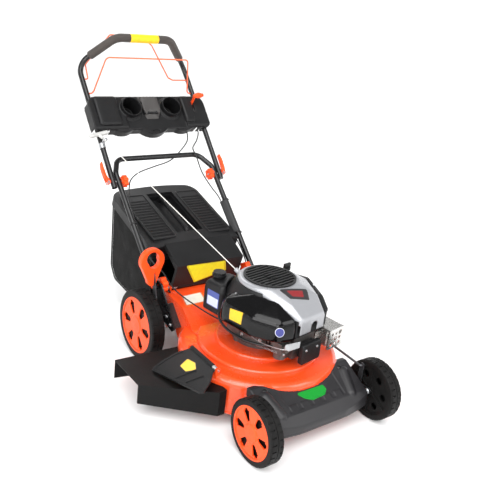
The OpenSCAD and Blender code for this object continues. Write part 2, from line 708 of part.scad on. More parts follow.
module rear_axle() {
  stub = rear_x + rear_wheel_w / 2 - hub_short;
  knob_foot = [-9, 316];
  color("#3a3c40") in_frame() difference() {
    union() {
      pin_x(-stub - gap - nut_h, stub + gap + nut_h, 0, rear_r, axle_r);
      both_sides() {
        flat_arm(rear_arm_x + 0.5, [rear_pivot_y, rear_r], [0, rear_r], 13);
        pin_x(rear_arm_x + 0.5 + arm_t, rear_inner - gap, 0, rear_r, axle_r + 3);
        pin_x(stub + gap, stub + gap + nut_h, 0, rear_r, nut_r);
      }
      along_x(-lever_x, arm_t - lever_x) {
        arm_plan([0, rear_r], [-30, rear_r + 110], 11);
        arm_plan([-30, rear_r + 110], knob_foot, 9);
      }
      flat_arm(horn_x, [0, rear_r], [rear_pivot_y, rear_r + horn_h], 10);
    }
    both_sides() pin_x(rear_arm_x - 1, rear_arm_x + arm_t + 1, rear_pivot_y, rear_r, pivot_r + running);
    pin_x(horn_x - 1, horn_x + arm_t + 1, rear_pivot_y, rear_r + horn_h, link_r + running);
  }
}

// Orange loop grip on the height lever
module height_grip() {
  color("orangered") in_frame() translate([-lever_x - 10, -8, 0]) rotate([90, 0, 0]) difference() {
    union() {
      translate([0, 0, -11]) linear_extrude(22) difference() {
        union() {
          translate([0, 374]) circle(46);
          polygon([[-44, 362], [44, 362], [20, 296], [-14, 296]]);
          translate([3, 296]) circle(17);
        }
        translate([0, 384]) circle(24);
        translate([6, 366]) circle(20);
      }
      translate([8, 296, -18]) cube([arm_t + 4, 34, 20]);
    }
    translate([10 - gap / 2, 240, -40]) cube([arm_t + gap, 90, 80]);
  }
}

// Link rod that ties the front lift to the rear lift
module link_rod() {
  a = [link_rear_x, rear_pivot_y, rear_r + horn_h];
  b = [link_front_x, front_pivot_y, front_r + horn_h];
  color("#4a4c50") in_frame()
    bent_tube([[horn_x + arm_t + 3, a[1], a[2]], a, b, [front_arm_x + arm_t + 3, b[1], b[2]]], link_r, 5);
}

// Wheels, axis along +x from the inner face
module tyre(r, w, wall) {
  bead = 4;
  notch = 360 / tread_notches;
  difference() {
    rotate([0, 90, 0]) rotate_extrude($fn = 96) difference() {
      union() {
        translate([r - wall, bead]) square([wall - bead, w - 2 * bead]);
        translate([r - wall, 0]) square([wall - 2 * bead, w]);
        translate([r - 2 * bead, bead]) square([2 * bead, w - 2 * bead]);
        translate([r - 2 * bead, 2 * bead]) circle(2 * bead);
        translate([r - 2 * bead, w - 2 * bead]) circle(2 * bead);
      }
      translate([r, w / 2]) square([4, 2.5], center = true);
    }
    for (i = [0 : tread_notches - 1])
      rotate([notch * i, 0, 0]) {
        translate([-1, -2.5, r - 3]) cube([w * 0.36, 5, 6]);
        rotate([notch / 2, 0, 0]) translate([w * 0.64, -2.5, r - 3]) cube([w, 5, 6]);
      }
  }
}
module wheel(r, w, wall) {
  rim = r - wall;
  web = 7;
  hub_end = w - hub_short;
  tyre(r, w, wall);
  rotate([0, 90, 0]) difference() {
    union() {
      rotate_extrude() {
        translate([rim - 5, 3]) square([5, w - 14]);
        translate([0, 6]) square([rim - 3, web]);
        square([hub_r, hub_end]);
      }
      for (i = [0 : cap_windows - 1])
        rotate([0, 0, 360 * i / cap_windows]) translate([0, -2.5, 2]) cube([rim - 2, 5, 10]);
    }
    translate([0, 0, -1]) cylinder(r = axle_r + running, h = w + 2);
    for (i = [0 : cap_windows - 1])
      rotate([0, 0, 360 * (i + 0.5) / cap_windows]) translate([rim * 0.66, 0, -1])
        cylinder(r = rim * 0.15, h = 20);
  }
}
module wheel_cap(r, w, wall) {
  rim = r - wall;
  back = w - 11;
  rotate([0, 90, 0]) difference() {
    rotate_extrude() {
      translate([0, back + 5]) square([rim - gap, 4]);
      translate([rim - 7, back]) square([7 - gap, 11]);
      polygon([[0, back + 5], [rim * 0.42, back + 5], [rim * 0.3, back + 12], [0, back + 13.5]]);
    }
    for (i = [0 : cap_windows - 1])
      rotate([0, 0, 360 * (i + 0.5) / cap_windows]) translate([0, 0, back - 1]) linear_extrude(20) {
        polygon(rim * [[0.5, -0.1], [0.8, -0.17], [0.8, 0.17], [0.5, 0.1]]);
        translate([rim * 0.5, 0]) circle(rim * 0.1);
        translate([rim * 0.8, 0]) circle(rim * 0.17 * 0.6);
      }
    translate([0, 0, back - 1]) cylinder(r = nut_r + 3, h = 11);
  }
}
module at_front(side) {
  in_frame() translate([side * front_inner, front_y, front_r]) mirror([side < 0 ? 1 : 0, 0, 0]) children();
}
module at_rear(side) {
  in_frame() translate([side * rear_inner, 0, rear_r]) mirror([side < 0 ? 1 : 0, 0, 0]) children();
}
module front_wheel_right() { color("#18191b") at_front(-1) wheel(front_r, front_wheel_w, tyre_wall); }
module front_wheel_left() { color("#18191b") at_front(1) wheel(front_r, front_wheel_w, tyre_wall); }
module rear_wheel_right() { color("#18191b") at_rear(-1) wheel(rear_r, rear_wheel_w, tyre_wall + 6); }
module rear_wheel_left() { color("#18191b") at_rear(1) wheel(rear_r, rear_wheel_w, tyre_wall + 6); }
module front_cap_right() { color("orangered") at_front(-1) wheel_cap(front_r, front_wheel_w, tyre_wall); }
module front_cap_left() { color("orangered") at_front(1) wheel_cap(front_r, front_wheel_w, tyre_wall); }
module rear_cap_right() { color("orangered") at_rear(-1) wheel_cap(rear_r, rear_wheel_w, tyre_wall + 6); }
module rear_cap_left() { color("orangered") at_rear(1) wheel_cap(rear_r, rear_wheel_w, tyre_wall + 6); }

// Drive to the rear wheels
module gearbox() {
  x0 = tunnel_left + sheet + 4;
  x1 = tunnel_w - sheet - 4;
  color("#8c9094") in_frame() difference() {
    union() {
      pin_x(x0, x1, 0, rear_r, 26);
      translate([box_pulley[0], box_pulley[1], rear_r - 20]) cylinder(r = 19, h = 34);
      translate([x0 + 4, box_pulley[1], rear_r - 18]) cube([x1 - x0 - 8, -box_pulley[1], 32]);
      translate([box_pulley[0], box_pulley[1], rear_r]) cylinder(r = 5, h = belt_z + belt_h - rear_r + 3);
    }
    pin_x(x0 - 1, x1 + 1, 0, rear_r, axle_r + running);
  }
}
module pulley(r, h) {
  rotate_extrude() {
    square([r - 4, h]);
    polygon([
      [0, 0], [r + 3, 0], [r + 3, 1.5], [r - 4, h / 2 - 2.3], [r - 4, h / 2 + 2.3], [r + 3, h - 1.5],
      [r + 3, h], [0, h]]);
  }
}
module gearbox_pulley() {
  color("#6f7377") in_frame() translate([box_pulley[0], box_pulley[1], belt_z - 7]) difference() {
    pulley(box_pulley_r, 14);
    translate([0, 0, -1]) cylinder(r = 5 + running, h = 20);
  }
}
module drive_belt() {
  d = box_pulley - [0, crank_y];
  ra = pulley_r - 4 + gap;
  rb = box_pulley_r - 4 + gap;
  t = 2.5;
  wrap = acos((ra - rb) / norm(d));
  run = sqrt(d * d - (ra - rb) * (ra - rb));
  color("#151515") in_frame() translate([0, crank_y, belt_z - 2]) rotate([0, 0, atan2(d[1], d[0])]) {
    rotate([0, 0, wrap]) rotate_extrude(angle = 360 - 2 * wrap) translate([ra, 0]) square([t, 4]);
    translate([norm(d), 0, 0]) rotate([0, 0, -wrap])
      rotate_extrude(angle = 2 * wrap) translate([rb, 0]) square([t, 4]);
    for (k = [0, 1]) mirror([0, k, 0]) rotate([0, 0, wrap])
      translate([ra + 0.1, -run - gap, 0.1]) cube([t - 0.2, run + 2 * gap, 3.8]);
  }
}
module crankshaft() {
  color("#b9bcc0") in_frame() translate([0, crank_y, 0]) {
    translate([0, 0, blade_z + 8]) cylinder(r = crank_r, h = shroud_z - 20 - blade_z - 8);
    translate([0, 0, shroud_z - 20]) cylinder(r = 8, h = 8);
  }
}
module blade_adapter() {
  color("#55585c") in_frame() translate([0, crank_y, 0]) {
    difference() {
      union() {
        translate([0, 0, blade_z + 4]) cylinder(r = 34, h = 8);
        translate([0, 0, blade_z + 4]) cylinder(r = adapter_r, h = belt_z - blade_z);
        translate([0, 0, belt_z - 7]) pulley(pulley_r, 14);
      }
      translate([0, 0, blade_z + 8]) cylinder(r = crank_r, h = 200);
      translate([0, 0, blade_z]) cylinder(r = 5, h = 9);
    }
    translate([0, 0, blade_z - 8]) cylinder(r = 11, h = 8, $fn = 6);
    translate([0, 0, blade_z - 4]) cylinder(r = 5, h = 11);
  }
}
module blade() {
  half = blade_len / 2;
  color("#a7aaae") in_frame() translate([0, crank_y, blade_z]) difference() {
    union() {
      translate([-half, -30, 0]) cube([blade_len, 60, 4]);
      for (a = [0, 180]) rotate([0, 0, a]) translate([half - 90, 26, 0]) rotate([28, 0, 0]) cube([90, 26, 4]);
    }
    translate([0, 0, -1]) cylinder(r = 5 + running, h = 6);
    for (a = [0, 180]) rotate([0, 0, a]) translate([half - 130, -31, 4]) rotate([-24, 0, 0])
      translate([0, -14, 0]) cube([140, 14 + 8, 8]);
  }
}
module flywheel() {
  z = shroud_z - 62;
  color("#7d8084") in_frame() translate([0, crank_y, z]) difference() {
    union() {
      cylinder(r = 88, h = 10);
      cylinder(r = 26, h = 40);
      for (i = [0 : 13])
        rotate([0, 0, 360 * i / 14]) translate([40, -2, 9]) rotate([0, 0, 14]) cube([44, 4, 26]);
    }
    translate([0, 0, -1]) cylinder(r = crank_r, h = 60);
  }
}

// Engine
module engine_block() {
  color("#a9acb0") in_frame() on_engine() difference() {
    union() {
      translate([0, 0, platform_z]) cylinder(r = 92, h = 12);
      translate([0, 0, platform_z]) cylinder(r = 78, h = crankcase_top - platform_z);
      translate([0, 0, platform_z - sheet - 14]) cylinder(r = boss_r, h = 30);
      translate([-44, -176, 214]) cube([88, 120, 70]);
      for (i = [0 : fin_count - 1]) translate([-57, -172 + i * 13, 206]) cube([119, 5, crankcase_top - 206]);
      translate([-50, -190, 208]) cube([100, 18, 76]);
      rod([66, 24, 226], [stick[0], stick[1], 246], 11);
      translate([stick[0], stick[1], 236]) cylinder(r = 10, h = shroud_z - 20 - 236);
      for (a = [45, 165, 285]) rotate([0, 0, a]) translate([84, 0, platform_z]) cylinder(r = 14, h = 16);
      translate([-78, 20, platform_z + 12]) cube([30, 60, 60]);
    }
    translate([0, 0, platform_z - sheet - 20]) cylinder(r = crank_r + running, h = 200);
    translate([stick[0], stick[1], shroud_z - 60]) cylinder(r = 6, h = 60);
  }
}
module flare_plan(wall) {
  translate(flare) circle(flare_r + 5 - wall);
  polygon([
    flare, [128 - wall, -44], [126 - wall, -84], [108 - wall, -154], [94 - wall, wall - 196],
    [arm_off, wall - 196]]);
}
module housing_upper(wall) {
  hull() {
    translate([0, 0, housing_top - 1]) cylinder(r = housing_r - wall, h = 1, $fn = 72);
    translate(ring_c + [0, 0, shroud_z - 16 - wall]) cylinder(r = ring_r + 4 - wall, h = 3, $fn = 72);
    translate([flare[0], flare[1], housing_top - 1]) cylinder(r = flare_r + 5 - wall, h = 1, $fn = 72);
    translate([flare[0], flare[1], housing_top + 30 - wall]) cylinder(r = flare_r - wall, h = 4, $fn = 72);
    translate([130 - wall, -66, shroud_z - 22 - wall]) sphere(r = 14, $fn = 24);
    translate([108 - wall, -146, shroud_z - 46 - wall]) sphere(r = 14, $fn = 24);
    translate([82 - wall, wall - 188, housing_top - 1]) cylinder(r = 14, h = 10, $fn = 24);
  }
}
module blower_housing() {
  shelf = crankcase_top + 8;
  color("#17181a") in_frame() difference() {
    on_engine() housing_shell(shelf);
    along_rope() translate([0, 0, rope_run - 10]) cylinder(r = 8 + gap, h = 30);
  }
}
module housing_shell(shelf) {
  difference() {
    union() {
      translate([0, 0, crankcase_top]) linear_extrude(housing_top - crankcase_top)
        housing_plan(housing_r, arm_half + 4, arm_front - 11);
      translate([0, 0, shelf]) linear_extrude(housing_top - shelf) flare_plan(0);
      housing_upper(0);
    }
    translate([0, 0, crankcase_top + 4]) linear_extrude(housing_top - crankcase_top - 4)
      housing_plan(housing_r - 5, arm_half - 2, arm_front - 16);
    translate([0, 0, shelf + 4]) linear_extrude(housing_top - shelf - 4) flare_plan(5);
    housing_upper(5);
    intersection() {
      shroud_form(0);
      translate([-200, -arm_front - 1, housing_top]) cube([400, 400, 120]);
    }
    translate(ring_c + [0, 0, housing_top]) cylinder(r = ring_r - 4, h = 60);
    translate([0, 0, crankcase_top - 1]) cylinder(r = crank_r + 8, h = 20);
  }
}

// Silver shroud, a ring round the grille with an arm that drops over the cylinder
module shroud_form(inset_by) {
  r = ring_r - inset_by;
  half = arm_half - inset_by;
  top = shroud_z - inset_by;
  hull() {
    translate(ring_c) {
      translate([0, 0, top - 12]) cylinder(r = r, h = 2, $fn = 72);
      translate([0, 0, top - 7]) cylinder(r = r - 1.5, h = 2, $fn = 72);
      translate([0, 0, top - 3]) cylinder(r = r - 5, h = 1, $fn = 72);
      translate([0, 0, top - 1]) cylinder(r = r - 9, h = 1, $fn = 72);
    }
    translate([112 - inset_by, -68, top - 21]) sphere(r = 14, $fn = 24);
    translate([76 - inset_by, -146, top - 35]) sphere(r = 14, $fn = 24);
    translate([inset_by - 40, -150, top - 40]) sphere(r = 14, $fn = 24);
    translate([arm_off, 0, 0]) both_sides() {
      translate([half - 14, inset_by - arm_front + 14, top - 66]) sphere(r = 14, $fn = 24);
      translate([half - 12, inset_by - arm_front + 12, housing_top - 12]) cylinder(r = 12, h = 2, $fn = 24);
    }
  }
}
module engine_shroud() {
  color("#c3c5c8") in_frame() difference() {
    along_rope() translate([0, 0, rope_run - 8]) cylinder(r = 8, h = 24);
    along_rope() translate([0, 0, rope_run - 10]) cylinder(r = rope_r + gap, h = 16);
    translate([0, crank_y, housing_top - 20]) cylinder(r = ring_r - 5, h = 60);
  }
  color("#c3c5c8") in_frame() on_engine() {
    difference() {
      shroud_form(0);
      intersection() {
        hull() for (drop = [0, 90]) translate([0, 0, -drop]) shroud_form(4);
        translate([-200, -arm_front + 4, housing_top - 30]) cube([400, 400, 120]);
      }
      translate([-200, -arm_front + 10, housing_top - 60]) cube([400, 400, 60]);
      translate(ring_c + [0, 0, housing_top]) cylinder(r = grille_open, h = 120);
    }
    difference() {
      translate([arm_off - arm_half + 4, -arm_front, 300]) cube([2 * arm_half - 8, 4, housing_top - 300]);
      translate([slot_x - 15, -arm_front - 1, 290]) cube([30, 8, 28]);
      translate([slot_x, -arm_front - 1, 318]) rotate([-90, 0, 0]) cylinder(r = 15, h = 8);
    }
  }
}
module fan_grille() {
  pitch = 2 * (grille_r - 8) / grille_slots;
  color("#1a1b1d") in_frame() on_engine() translate(ring_c + [0, 0, shroud_z]) difference() {
    union() {
      cylinder(r = grille_r, h = 5);
      cylinder(r = 22, h = 7);
    }
    intersection() {
      translate([0, 0, -1]) cylinder(r = grille_r - 7, h = 10);
      for (i = [0 : grille_slots - 1])
        translate([-grille_r, -grille_r + 8 + (i + 0.5) * pitch - 4.2, -1]) cube([2 * grille_r, 8.4, 10]);
    }
  }
}
module air_filter_cover() {
  corners = [
    [-128, 20, 332], [-128, -88, 330], [-96, -152, 326], [-62, -162, 328], [-74, 20, 350], [-100, -40, 360],
    [-70, -112, 354]];
  color("#111214") in_frame() on_engine() difference() {
    hull() for (p = corners) {
      translate([p[0], p[1], 282]) cylinder(r = 36, h = 30, $fn = 32);
      translate(p) rotate([0, 0, 3]) sphere(r = 33.5, $fn = 30);
    }
    translate([0, 0, 270]) cylinder(r = housing_r + gap, h = housing_top - 270, $fn = 96);
    translate([arm_off - arm_half - 4 - gap, -240, 270]) cube([260, 240, housing_top - 270]);
    housing_upper(-gap);
    shroud_form(-gap);
    translate([-40, -240, 270]) cube([260, 400, 160]);
  }
}
module fuel_tank() {
  color("#141517") in_frame() on_engine() difference() {
    union() {
      hull() {
        for (p = [[-102, 152], [-102, 96], [-20, 152], [-20, 120]]) {
          translate([p[0], p[1], 262]) cylinder(r = 20, h = 80, $fn = 32);
          translate([p[0], p[1], 350]) sphere(r = 17, $fn = 32);
        }
      }
      translate([tank_cap[0], tank_cap[1], 350]) cylinder(r = 19, h = 22);
    }
    translate([0, 0, 250]) cylinder(r = housing_r + gap, h = 150, $fn = 96);
    translate([tank_cap[0], tank_cap[1], 340]) cylinder(r = 14, h = 40);
  }
}
module fuel_cap() {
  color("#18191b") in_frame() on_engine() translate([tank_cap[0], tank_cap[1], 372 + 0.05]) difference() {
    union() {
      cylinder(r = 25, h = 7);
      cylinder(r = 22, h = 15);
      translate([0, 0, -14]) cylinder(r = 14 - running, h = 15);
    }
    for (i = [0 : 15]) rotate([0, 0, 22.5 * i]) translate([23.5, 0, 7.5]) cylinder(r = 2.4, h = 10);
  }
}
module dipstick() {
  color("#18191b") in_frame() on_engine() translate([stick[0], stick[1], shroud_z - 20 + 0.05]) {
    translate([0, 0, -34]) cylinder(r = 6 - running, h = 35);
    cylinder(r = 13, h = 9);
    translate([-15, -4, 8]) cube([30, 8, 14]);
  }
}
module carburettor() {
  color("#9da0a4") in_frame() on_engine() translate([-80, -162, 0]) {
    translate([-21, -20, 232]) cube([42, 40, 40]);
    translate([0, 0, 214]) cylinder(r = 20, h = 20);
    translate([0, 0, 268]) cylinder(r = 15, h = 13.7);
    translate([20, -8, 238]) cube([2.7, 28, 28]);
    translate([0, -19, 252]) rotate([90, 0, 0]) cylinder(r = 11, h = 11);
    translate([-17, -29, 262]) rotate([0, 0, 12]) cube([44, 3, 8]);
  }
}
module muffler() {
  color("#8d9094") in_frame() on_engine() {
    translate([82.5, -216, 226]) cube([55.5, 58, 58]);
    translate([62 + gap, -186, 240]) cube([21, 26, 28]);
    translate([110, -216, 250]) rotate([90, 0, 0]) cylinder(r = 12, h = 8);
  }
}
module muffler_guard() {
  color("#c9cbcd") in_frame() on_engine() difference() {
    translate([78, -232, 220]) cube([72, 80, 70]);
    translate([81, -229, 200]) cube([66, 90, 87]);
    translate([70, -225, 210]) cube([12, 90, 74]);
    for (i = [0 : 2], k = [0 : 2]) {
      translate([94 + i * 20, -222, 234 + k * 19]) rotate([90, 0, 0]) cylinder(r = i == k ? 8 : 5.5, h = 20);
      translate([140, -212 + i * 20, 234 + k * 19]) rotate([0, 90, 0]) cylinder(r = i == 1 ? 7 : 5.5, h = 20);
    }
  }
  color("#c9cbcd") in_frame() on_engine() for (z = [243.5, 262.5])
    translate([138, -202.5, z]) rotate([0, 90, 0]) cylinder(r = 4, h = 9.5);
}
module front_guard() {
  color("#17181a") in_frame() on_engine() {
    hull() for (x = [-32, 44], z = [206, 258])
      translate([x, -206, z]) rotate([90, 0, 0]) cylinder(r = 9, h = 16, $fn = 32);
    translate([-26, -206, 212]) cube([64, 16, 50]);
  }
}

// Handle
module lower_handle() {
  color("#141517") in_frame() difference() {
    bent_tube(lower_path, tube_r, 45);
    both_sides() {
      pin_x(-lower_w - 20, -lower_w + 20, lower_y, lower_z, bolt_r + running);
      pin_x(-lower_w - 20, -lower_w + 20, fold_y, fold_z, bolt_r + running);
    }
  }
}
module star_knob(r, h) {
  difference() {
    union() {
      cylinder(r = r * 0.8, h = h);
      for (i = [0 : 5]) rotate([0, 0, 60 * i]) translate([r * 0.66, 0, 0]) cylinder(r = r * 0.34, h = h);
      translate([0, 0, -4]) cylinder(r = r * 0.45, h = 5);
    }
    translate([0, 0, h - 3]) cylinder(r = r * 0.5, h = 5);
  }
}
module lower_knob(side) {
  in_frame() mirror([side < 0 ? 0 : 1, 0, 0]) {
    translate([-bracket_x + bracket_t + 4 + 0.2, lower_y, lower_z]) rotate([0, 90, 0]) star_knob(29, 20);
    pin_x(-lower_w - tube_r - 2.4, -bracket_x + bracket_t + 10, lower_y, lower_z, bolt_r);
    pin_x(-lower_w - tube_r - 2.6, -lower_w - tube_r - 0.3, lower_y, lower_z, bolt_r + 3);
  }
}
module lower_knob_right() { color("orangered") lower_knob(-1); }
module lower_knob_left() { color("orangered") lower_knob(1); }
module upper_handle() {
  color("#141517") in_frame() on_upper() difference() {
    bent_tube(upper_path, tube_r, bend_r);
    both_sides() {
      pin_x(-upper_w - 20, -upper_w + 20, 0, 0, bolt_r + running);
      pin_x(-upper_w, -upper_w + 20, brake_s, 0, bail_r + running);
      pin_x(-upper_w, -upper_w + 20, drive_s, 0, bail_r + running);
    }
  }
}
module grip_foam() {
  start = upper_path[1] + (upper_path[2] - upper_path[1]) * 0.3;
  stop = upper_path[4] + (upper_path[3] - upper_path[4]) * 0.3;
  color("#3b3936") in_frame() on_upper() difference() {
    bent_tube([start, upper_path[2], upper_path[3], stop], foam_r, bend_r);
    bent_tube(upper_path, tube_r + 0.1, bend_r);
  }
}

// Bolts of the fold clamps, each with an eye for its cam lever
eye_x = upper_w + tube_r + 8.5;
module clamp_bolts() {
  color("silver") in_frame() on_upper() both_sides() {
    pin_x(-eye_x, -lower_w + tube_r + 22, 0, 0, bolt_r);
    translate([-eye_x, 0, -5]) cylinder(r = 6, h = 10);
  }
}
module cam_lever(side) {
  in_frame() on_upper() mirror([side < 0 ? 0 : 1, 0, 0]) translate([-eye_x, 0, 0]) difference() {
    union() {
      translate([0, 0, -9]) cylinder(r = 8, h = 18);
      translate([0, 0, -9]) linear_extrude(18) polygon([
        [-8, 0], [-12, 24], [-13, 60], [-9, 82], [-4, 84], [-4, 60], [-2, 26], [8, 3]]);
    }
    translate([0, 0, -10]) cylinder(r = 6 + running, h = 20);
    translate([-30, -12, -5 - gap]) cube([60, 26, 10 + 2 * gap]);
  }
}
module cam_lever_right() { color("orangered") cam_lever(-1); }
module cam_lever_left() { color("orangered") cam_lever(1); }
module fold_knob(side) {
  in_frame() on_upper() mirror([side < 0 ? 0 : 1, 0, 0]) translate([-lower_w + tube_r + 4 + gap, 0, 0])
    rotate([0, 90, 0]) difference() {
      star_knob(23, 18);
      translate([0, 0, -5]) cylinder(r = bolt_r + running, h = 30);
    }
}
module star_knob_right() { color("orangered") fold_knob(-1); }
module star_knob_left() { color("orangered") fold_knob(1); }

// Control console with two cup holders
module console_section(wall) {
  translate([console_s0 + 12 + wall, -20]) square([console_s1 - console_s0 - 24 - 2 * wall, 48 - wall]);
  translate([console_s0 + wall, -20]) square([console_s1 - console_s0 - 2 * wall, 34]);
  for (s = [console_s0 + 14, console_s1 - 14]) translate([s, 14]) circle(14 - wall);
}
module console_plan() {
  half = (console_s1 - console_s0) / 2;
  translate([-console_w + 40, console_s0]) square([2 * console_w - 80, 2 * half]);
  translate([-console_w + 18, console_s0]) square([2 * console_w - 36, half]);
  translate([-console_w, console_s0 + 18]) square([2 * console_w, 2 * half - 58]);
  both_sides() {
    translate([console_w - 18, console_s0 + 18]) circle(18);
    translate([console_w - 40, console_s1 - 40]) circle(40);
  }
}
module console() {
  lid = 20;
  color("#232427") in_frame() on_upper() difference() {
    union() {
      difference() {
        intersection() {
          along_x(-console_w, console_w) console_section(0);
          translate([0, 0, -40]) linear_extrude(100) console_plan();
        }
        translate([-118, console_s0 - 1, lid]) cube([268, 200, 40]);
        translate([0, 0, -30]) along_x(-console_w + cover_wall, console_w - cover_wall) {
          translate([0, 20]) console_section(cover_wall);
          console_section(cover_wall);
        }
      }
      both_sides()
        translate([cup_x, cup_s, cup_top - cup_depth - 4]) cylinder(r = cup_r + 4, h = cup_depth + 4);
      both_sides() intersection() {
        translate([cup_x, cup_s, lid - 4]) cylinder(r = cup_r + 12, h = 8);
        translate([0, console_s0 + 4, 0]) cube([cup_x + cup_r + 12, console_s1 - console_s0 - 8, 60]);
      }
      intersection() {
        translate([0, console_s0 + 62, -20]) cylinder(r = 84, h = lid + 20);
        translate([-100, console_s0 - 30, -20]) cube([200, 38, lid + 20]);
      }
      both_sides() intersection() {
        translate([cup_x + 46, console_s0 + 62, -20]) cylinder(r = 72, h = lid + 18);
        translate([60, console_s0 - 20, -20]) cube([160, 28, lid + 18]);
      }
      both_sides() translate([upper_w - tube_r - 4, console_s0, -20]) cube([4, console_s1 - console_s0, 40]);
    }
    both_sides() {
      translate([cup_x, cup_s, cup_top - cup_depth]) cylinder(r = cup_r, h = cup_depth + 1);
      rod([upper_w, console_s0 - 20, 0], [upper_w, console_s1 + 20, 0], tube_r + 0.2);
    }
    both_sides() for (x = [console_w - 62, console_w - 40])
      translate([x, console_s0 - 2, -21]) cylinder(r = 6, h = 50);
    translate([-console_w + 26, console_s0 + 20, 26.8]) difference() {
      cube([100, 100, 4]);
      translate([2.4, 2.4, -1]) cube([95.2, 95.2, 6]);
    }
    translate([speed_x - 4, speed_s - 34, 5]) cube([8, 66, 40]);
    translate([-16, console_s0 - 16, lid - 8]) cube([32, 12, 9]);
  }
  color("#232427") in_frame() on_upper() translate([speed_x, speed_s, 0]) {
    pin_x(-12, 12, 0, 0, 3);
    for (x = [-13, 10]) translate([x, -11, -10]) cube([3, 22, 36]);
  }
  color("#4b4c4f") in_frame() on_upper() {
    difference() {
      translate([-38, cup_s - 28, lid - 0.5]) cube([76, 76, 16]);
      both_sides() translate([cup_x, cup_s, 0]) cylinder(r = cup_r + 4, h = 60);
      for (i = [0 : 4]) translate([-30 + i * 14, cup_s - 30, lid + 14]) cube([4, 80, 4]);
    }
  }
}
module speed_lever() {
  color("orangered") in_frame() on_upper() translate([speed_x, speed_s, 0]) {
    difference() {
      rotate([-16, 0, 0]) {
        translate([-2.5, -5, 0]) cube([5, 10, 62]);
        translate([0, 0, 62]) rotate([0, 80, 0]) translate([0, 0, -6]) linear_extrude(44)
          polygon([[-4, -6], [4, -6], [7, 0], [4, 6], [-4, 6], [-7, 0]]);
        pin_x(-6, 6, 0, 0, 7);
      }
      pin_x(-10, 10, 0, 0, 3 + running);
    }
  }
}
module brake_bail() { color("orangered") in_frame() on_upper() bent_tube(brake_path, bail_r, 18); }
module drive_bail() { color("orangered") in_frame() on_upper() bent_tube(drive_path, bail_r, 10); }

// Recoil starter grip, guide and rope
grip_point = upper_point(grip_c);
rope_dir = unit(rope_exit - grip_point);
rope_run = norm(rope_exit - grip_point);
handle_normal = [0, -sin(upper_angle), cos(upper_angle)];
module along_rope() {
  translate(grip_point) rotate([0, acos(rope_dir[2]), atan2(rope_dir[1], rope_dir[0])]) children();
}
module rope_guide() {
  ring = grip_point + 38 * rope_dir;
  color("#c8cacc") in_frame() {
    along_rope() translate([0, 0, 38]) rotate_extrude() translate([9, 0]) circle(2.5);
    rod(ring - 9 * handle_normal, upper_point([-upper_w, 152, tube_r + 1]), 2.6);
    on_upper() translate([-upper_w, 140, 0]) rotate([-90, 0, 0]) difference() {
      cylinder(r = tube_r + 2, h = 20);
      translate([0, 0, -1]) cylinder(r = tube_r + running, h = 22);
    }
  }
}
module starter_grip() {
  bar = unit([1, 0, 0] - rope_dir[0] * rope_dir);
  color("#b6b8ba") in_frame() {
    translate(grip_point) rotate([0, acos(bar[2]), atan2(bar[1], bar[0])]) rotate_extrude()
      intersection() {
        translate([0, -44]) square(88);
        union() {
          translate([0, -36]) square([8.5, 72]);
          for (k = [-36, 36]) translate([0, k]) circle(8.5);
        }
      }
    along_rope() cylinder(r1 = 8, r2 = 5, h = 26);
  }
}
module starter_rope() {
  color("white") in_frame() cord([
    grip_point + 26.3 * rope_dir, grip_point + 200 * rope_dir, grip_point + 400 * rope_dir,
    grip_point + 600 * rope_dir, rope_exit], rope_r, 8);
}
module control_cables() {
  color("#161616") in_frame() {
    cord(smooth(brake_route, 3), cable_r, 8);
    cord(smooth(drive_route, 3), cable_r, 8);
  }
}

deck();
front_bumper();
handle_brackets();
hinge_pins();
flap_springs();
rear_flap();
side_flap();
discharge_chute();
bag_cloth();
bag_lid();
bag_frame();
front_axle();
rear_axle();
height_grip();
link_rod();
front_wheel_right();
front_wheel_left();
rear_wheel_right();
rear_wheel_left();
front_cap_right();
front_cap_left();
rear_cap_right();
rear_cap_left();
gearbox();
gearbox_pulley();
drive_belt();
crankshaft();
blade_adapter();
blade();
flywheel();
engine_block();
blower_housing();
engine_shroud();
fan_grille();
air_filter_cover();
fuel_tank();
fuel_cap();
dipstick();
carburettor();
muffler();
muffler_guard();
front_guard();
lower_handle();
lower_knob_right();
lower_knob_left();
upper_handle();
grip_foam();
clamp_bolts();
cam_lever_right();
cam_lever_left();
star_knob_right();
star_knob_left();
console();
speed_lever();
brake_bail();
drive_bail();
rope_guide();
starter_grip();
starter_rope();
control_cables();
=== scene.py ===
import json
import math
import bpy
import bmesh
from mathutils import Matrix, Vector, noise
from mathutils.bvhtree import BVHTree


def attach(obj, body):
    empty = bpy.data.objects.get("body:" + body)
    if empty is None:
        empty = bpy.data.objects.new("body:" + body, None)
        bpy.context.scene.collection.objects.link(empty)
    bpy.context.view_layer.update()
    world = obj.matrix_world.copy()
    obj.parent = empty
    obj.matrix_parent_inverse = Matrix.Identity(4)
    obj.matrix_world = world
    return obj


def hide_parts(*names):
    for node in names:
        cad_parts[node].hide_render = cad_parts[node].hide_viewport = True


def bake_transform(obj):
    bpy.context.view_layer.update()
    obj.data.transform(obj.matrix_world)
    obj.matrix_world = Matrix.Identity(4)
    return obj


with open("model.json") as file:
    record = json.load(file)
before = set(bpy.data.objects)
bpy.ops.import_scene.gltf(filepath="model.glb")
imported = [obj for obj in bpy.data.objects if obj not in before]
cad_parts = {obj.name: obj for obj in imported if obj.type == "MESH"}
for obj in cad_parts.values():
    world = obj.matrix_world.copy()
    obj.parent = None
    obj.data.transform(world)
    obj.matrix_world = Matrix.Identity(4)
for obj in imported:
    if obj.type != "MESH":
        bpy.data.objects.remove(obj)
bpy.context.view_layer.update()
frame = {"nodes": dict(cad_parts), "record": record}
cad = frame["nodes"]
scene = bpy.context.scene
print("stage: frame loaded,", len(cad), "nodes")

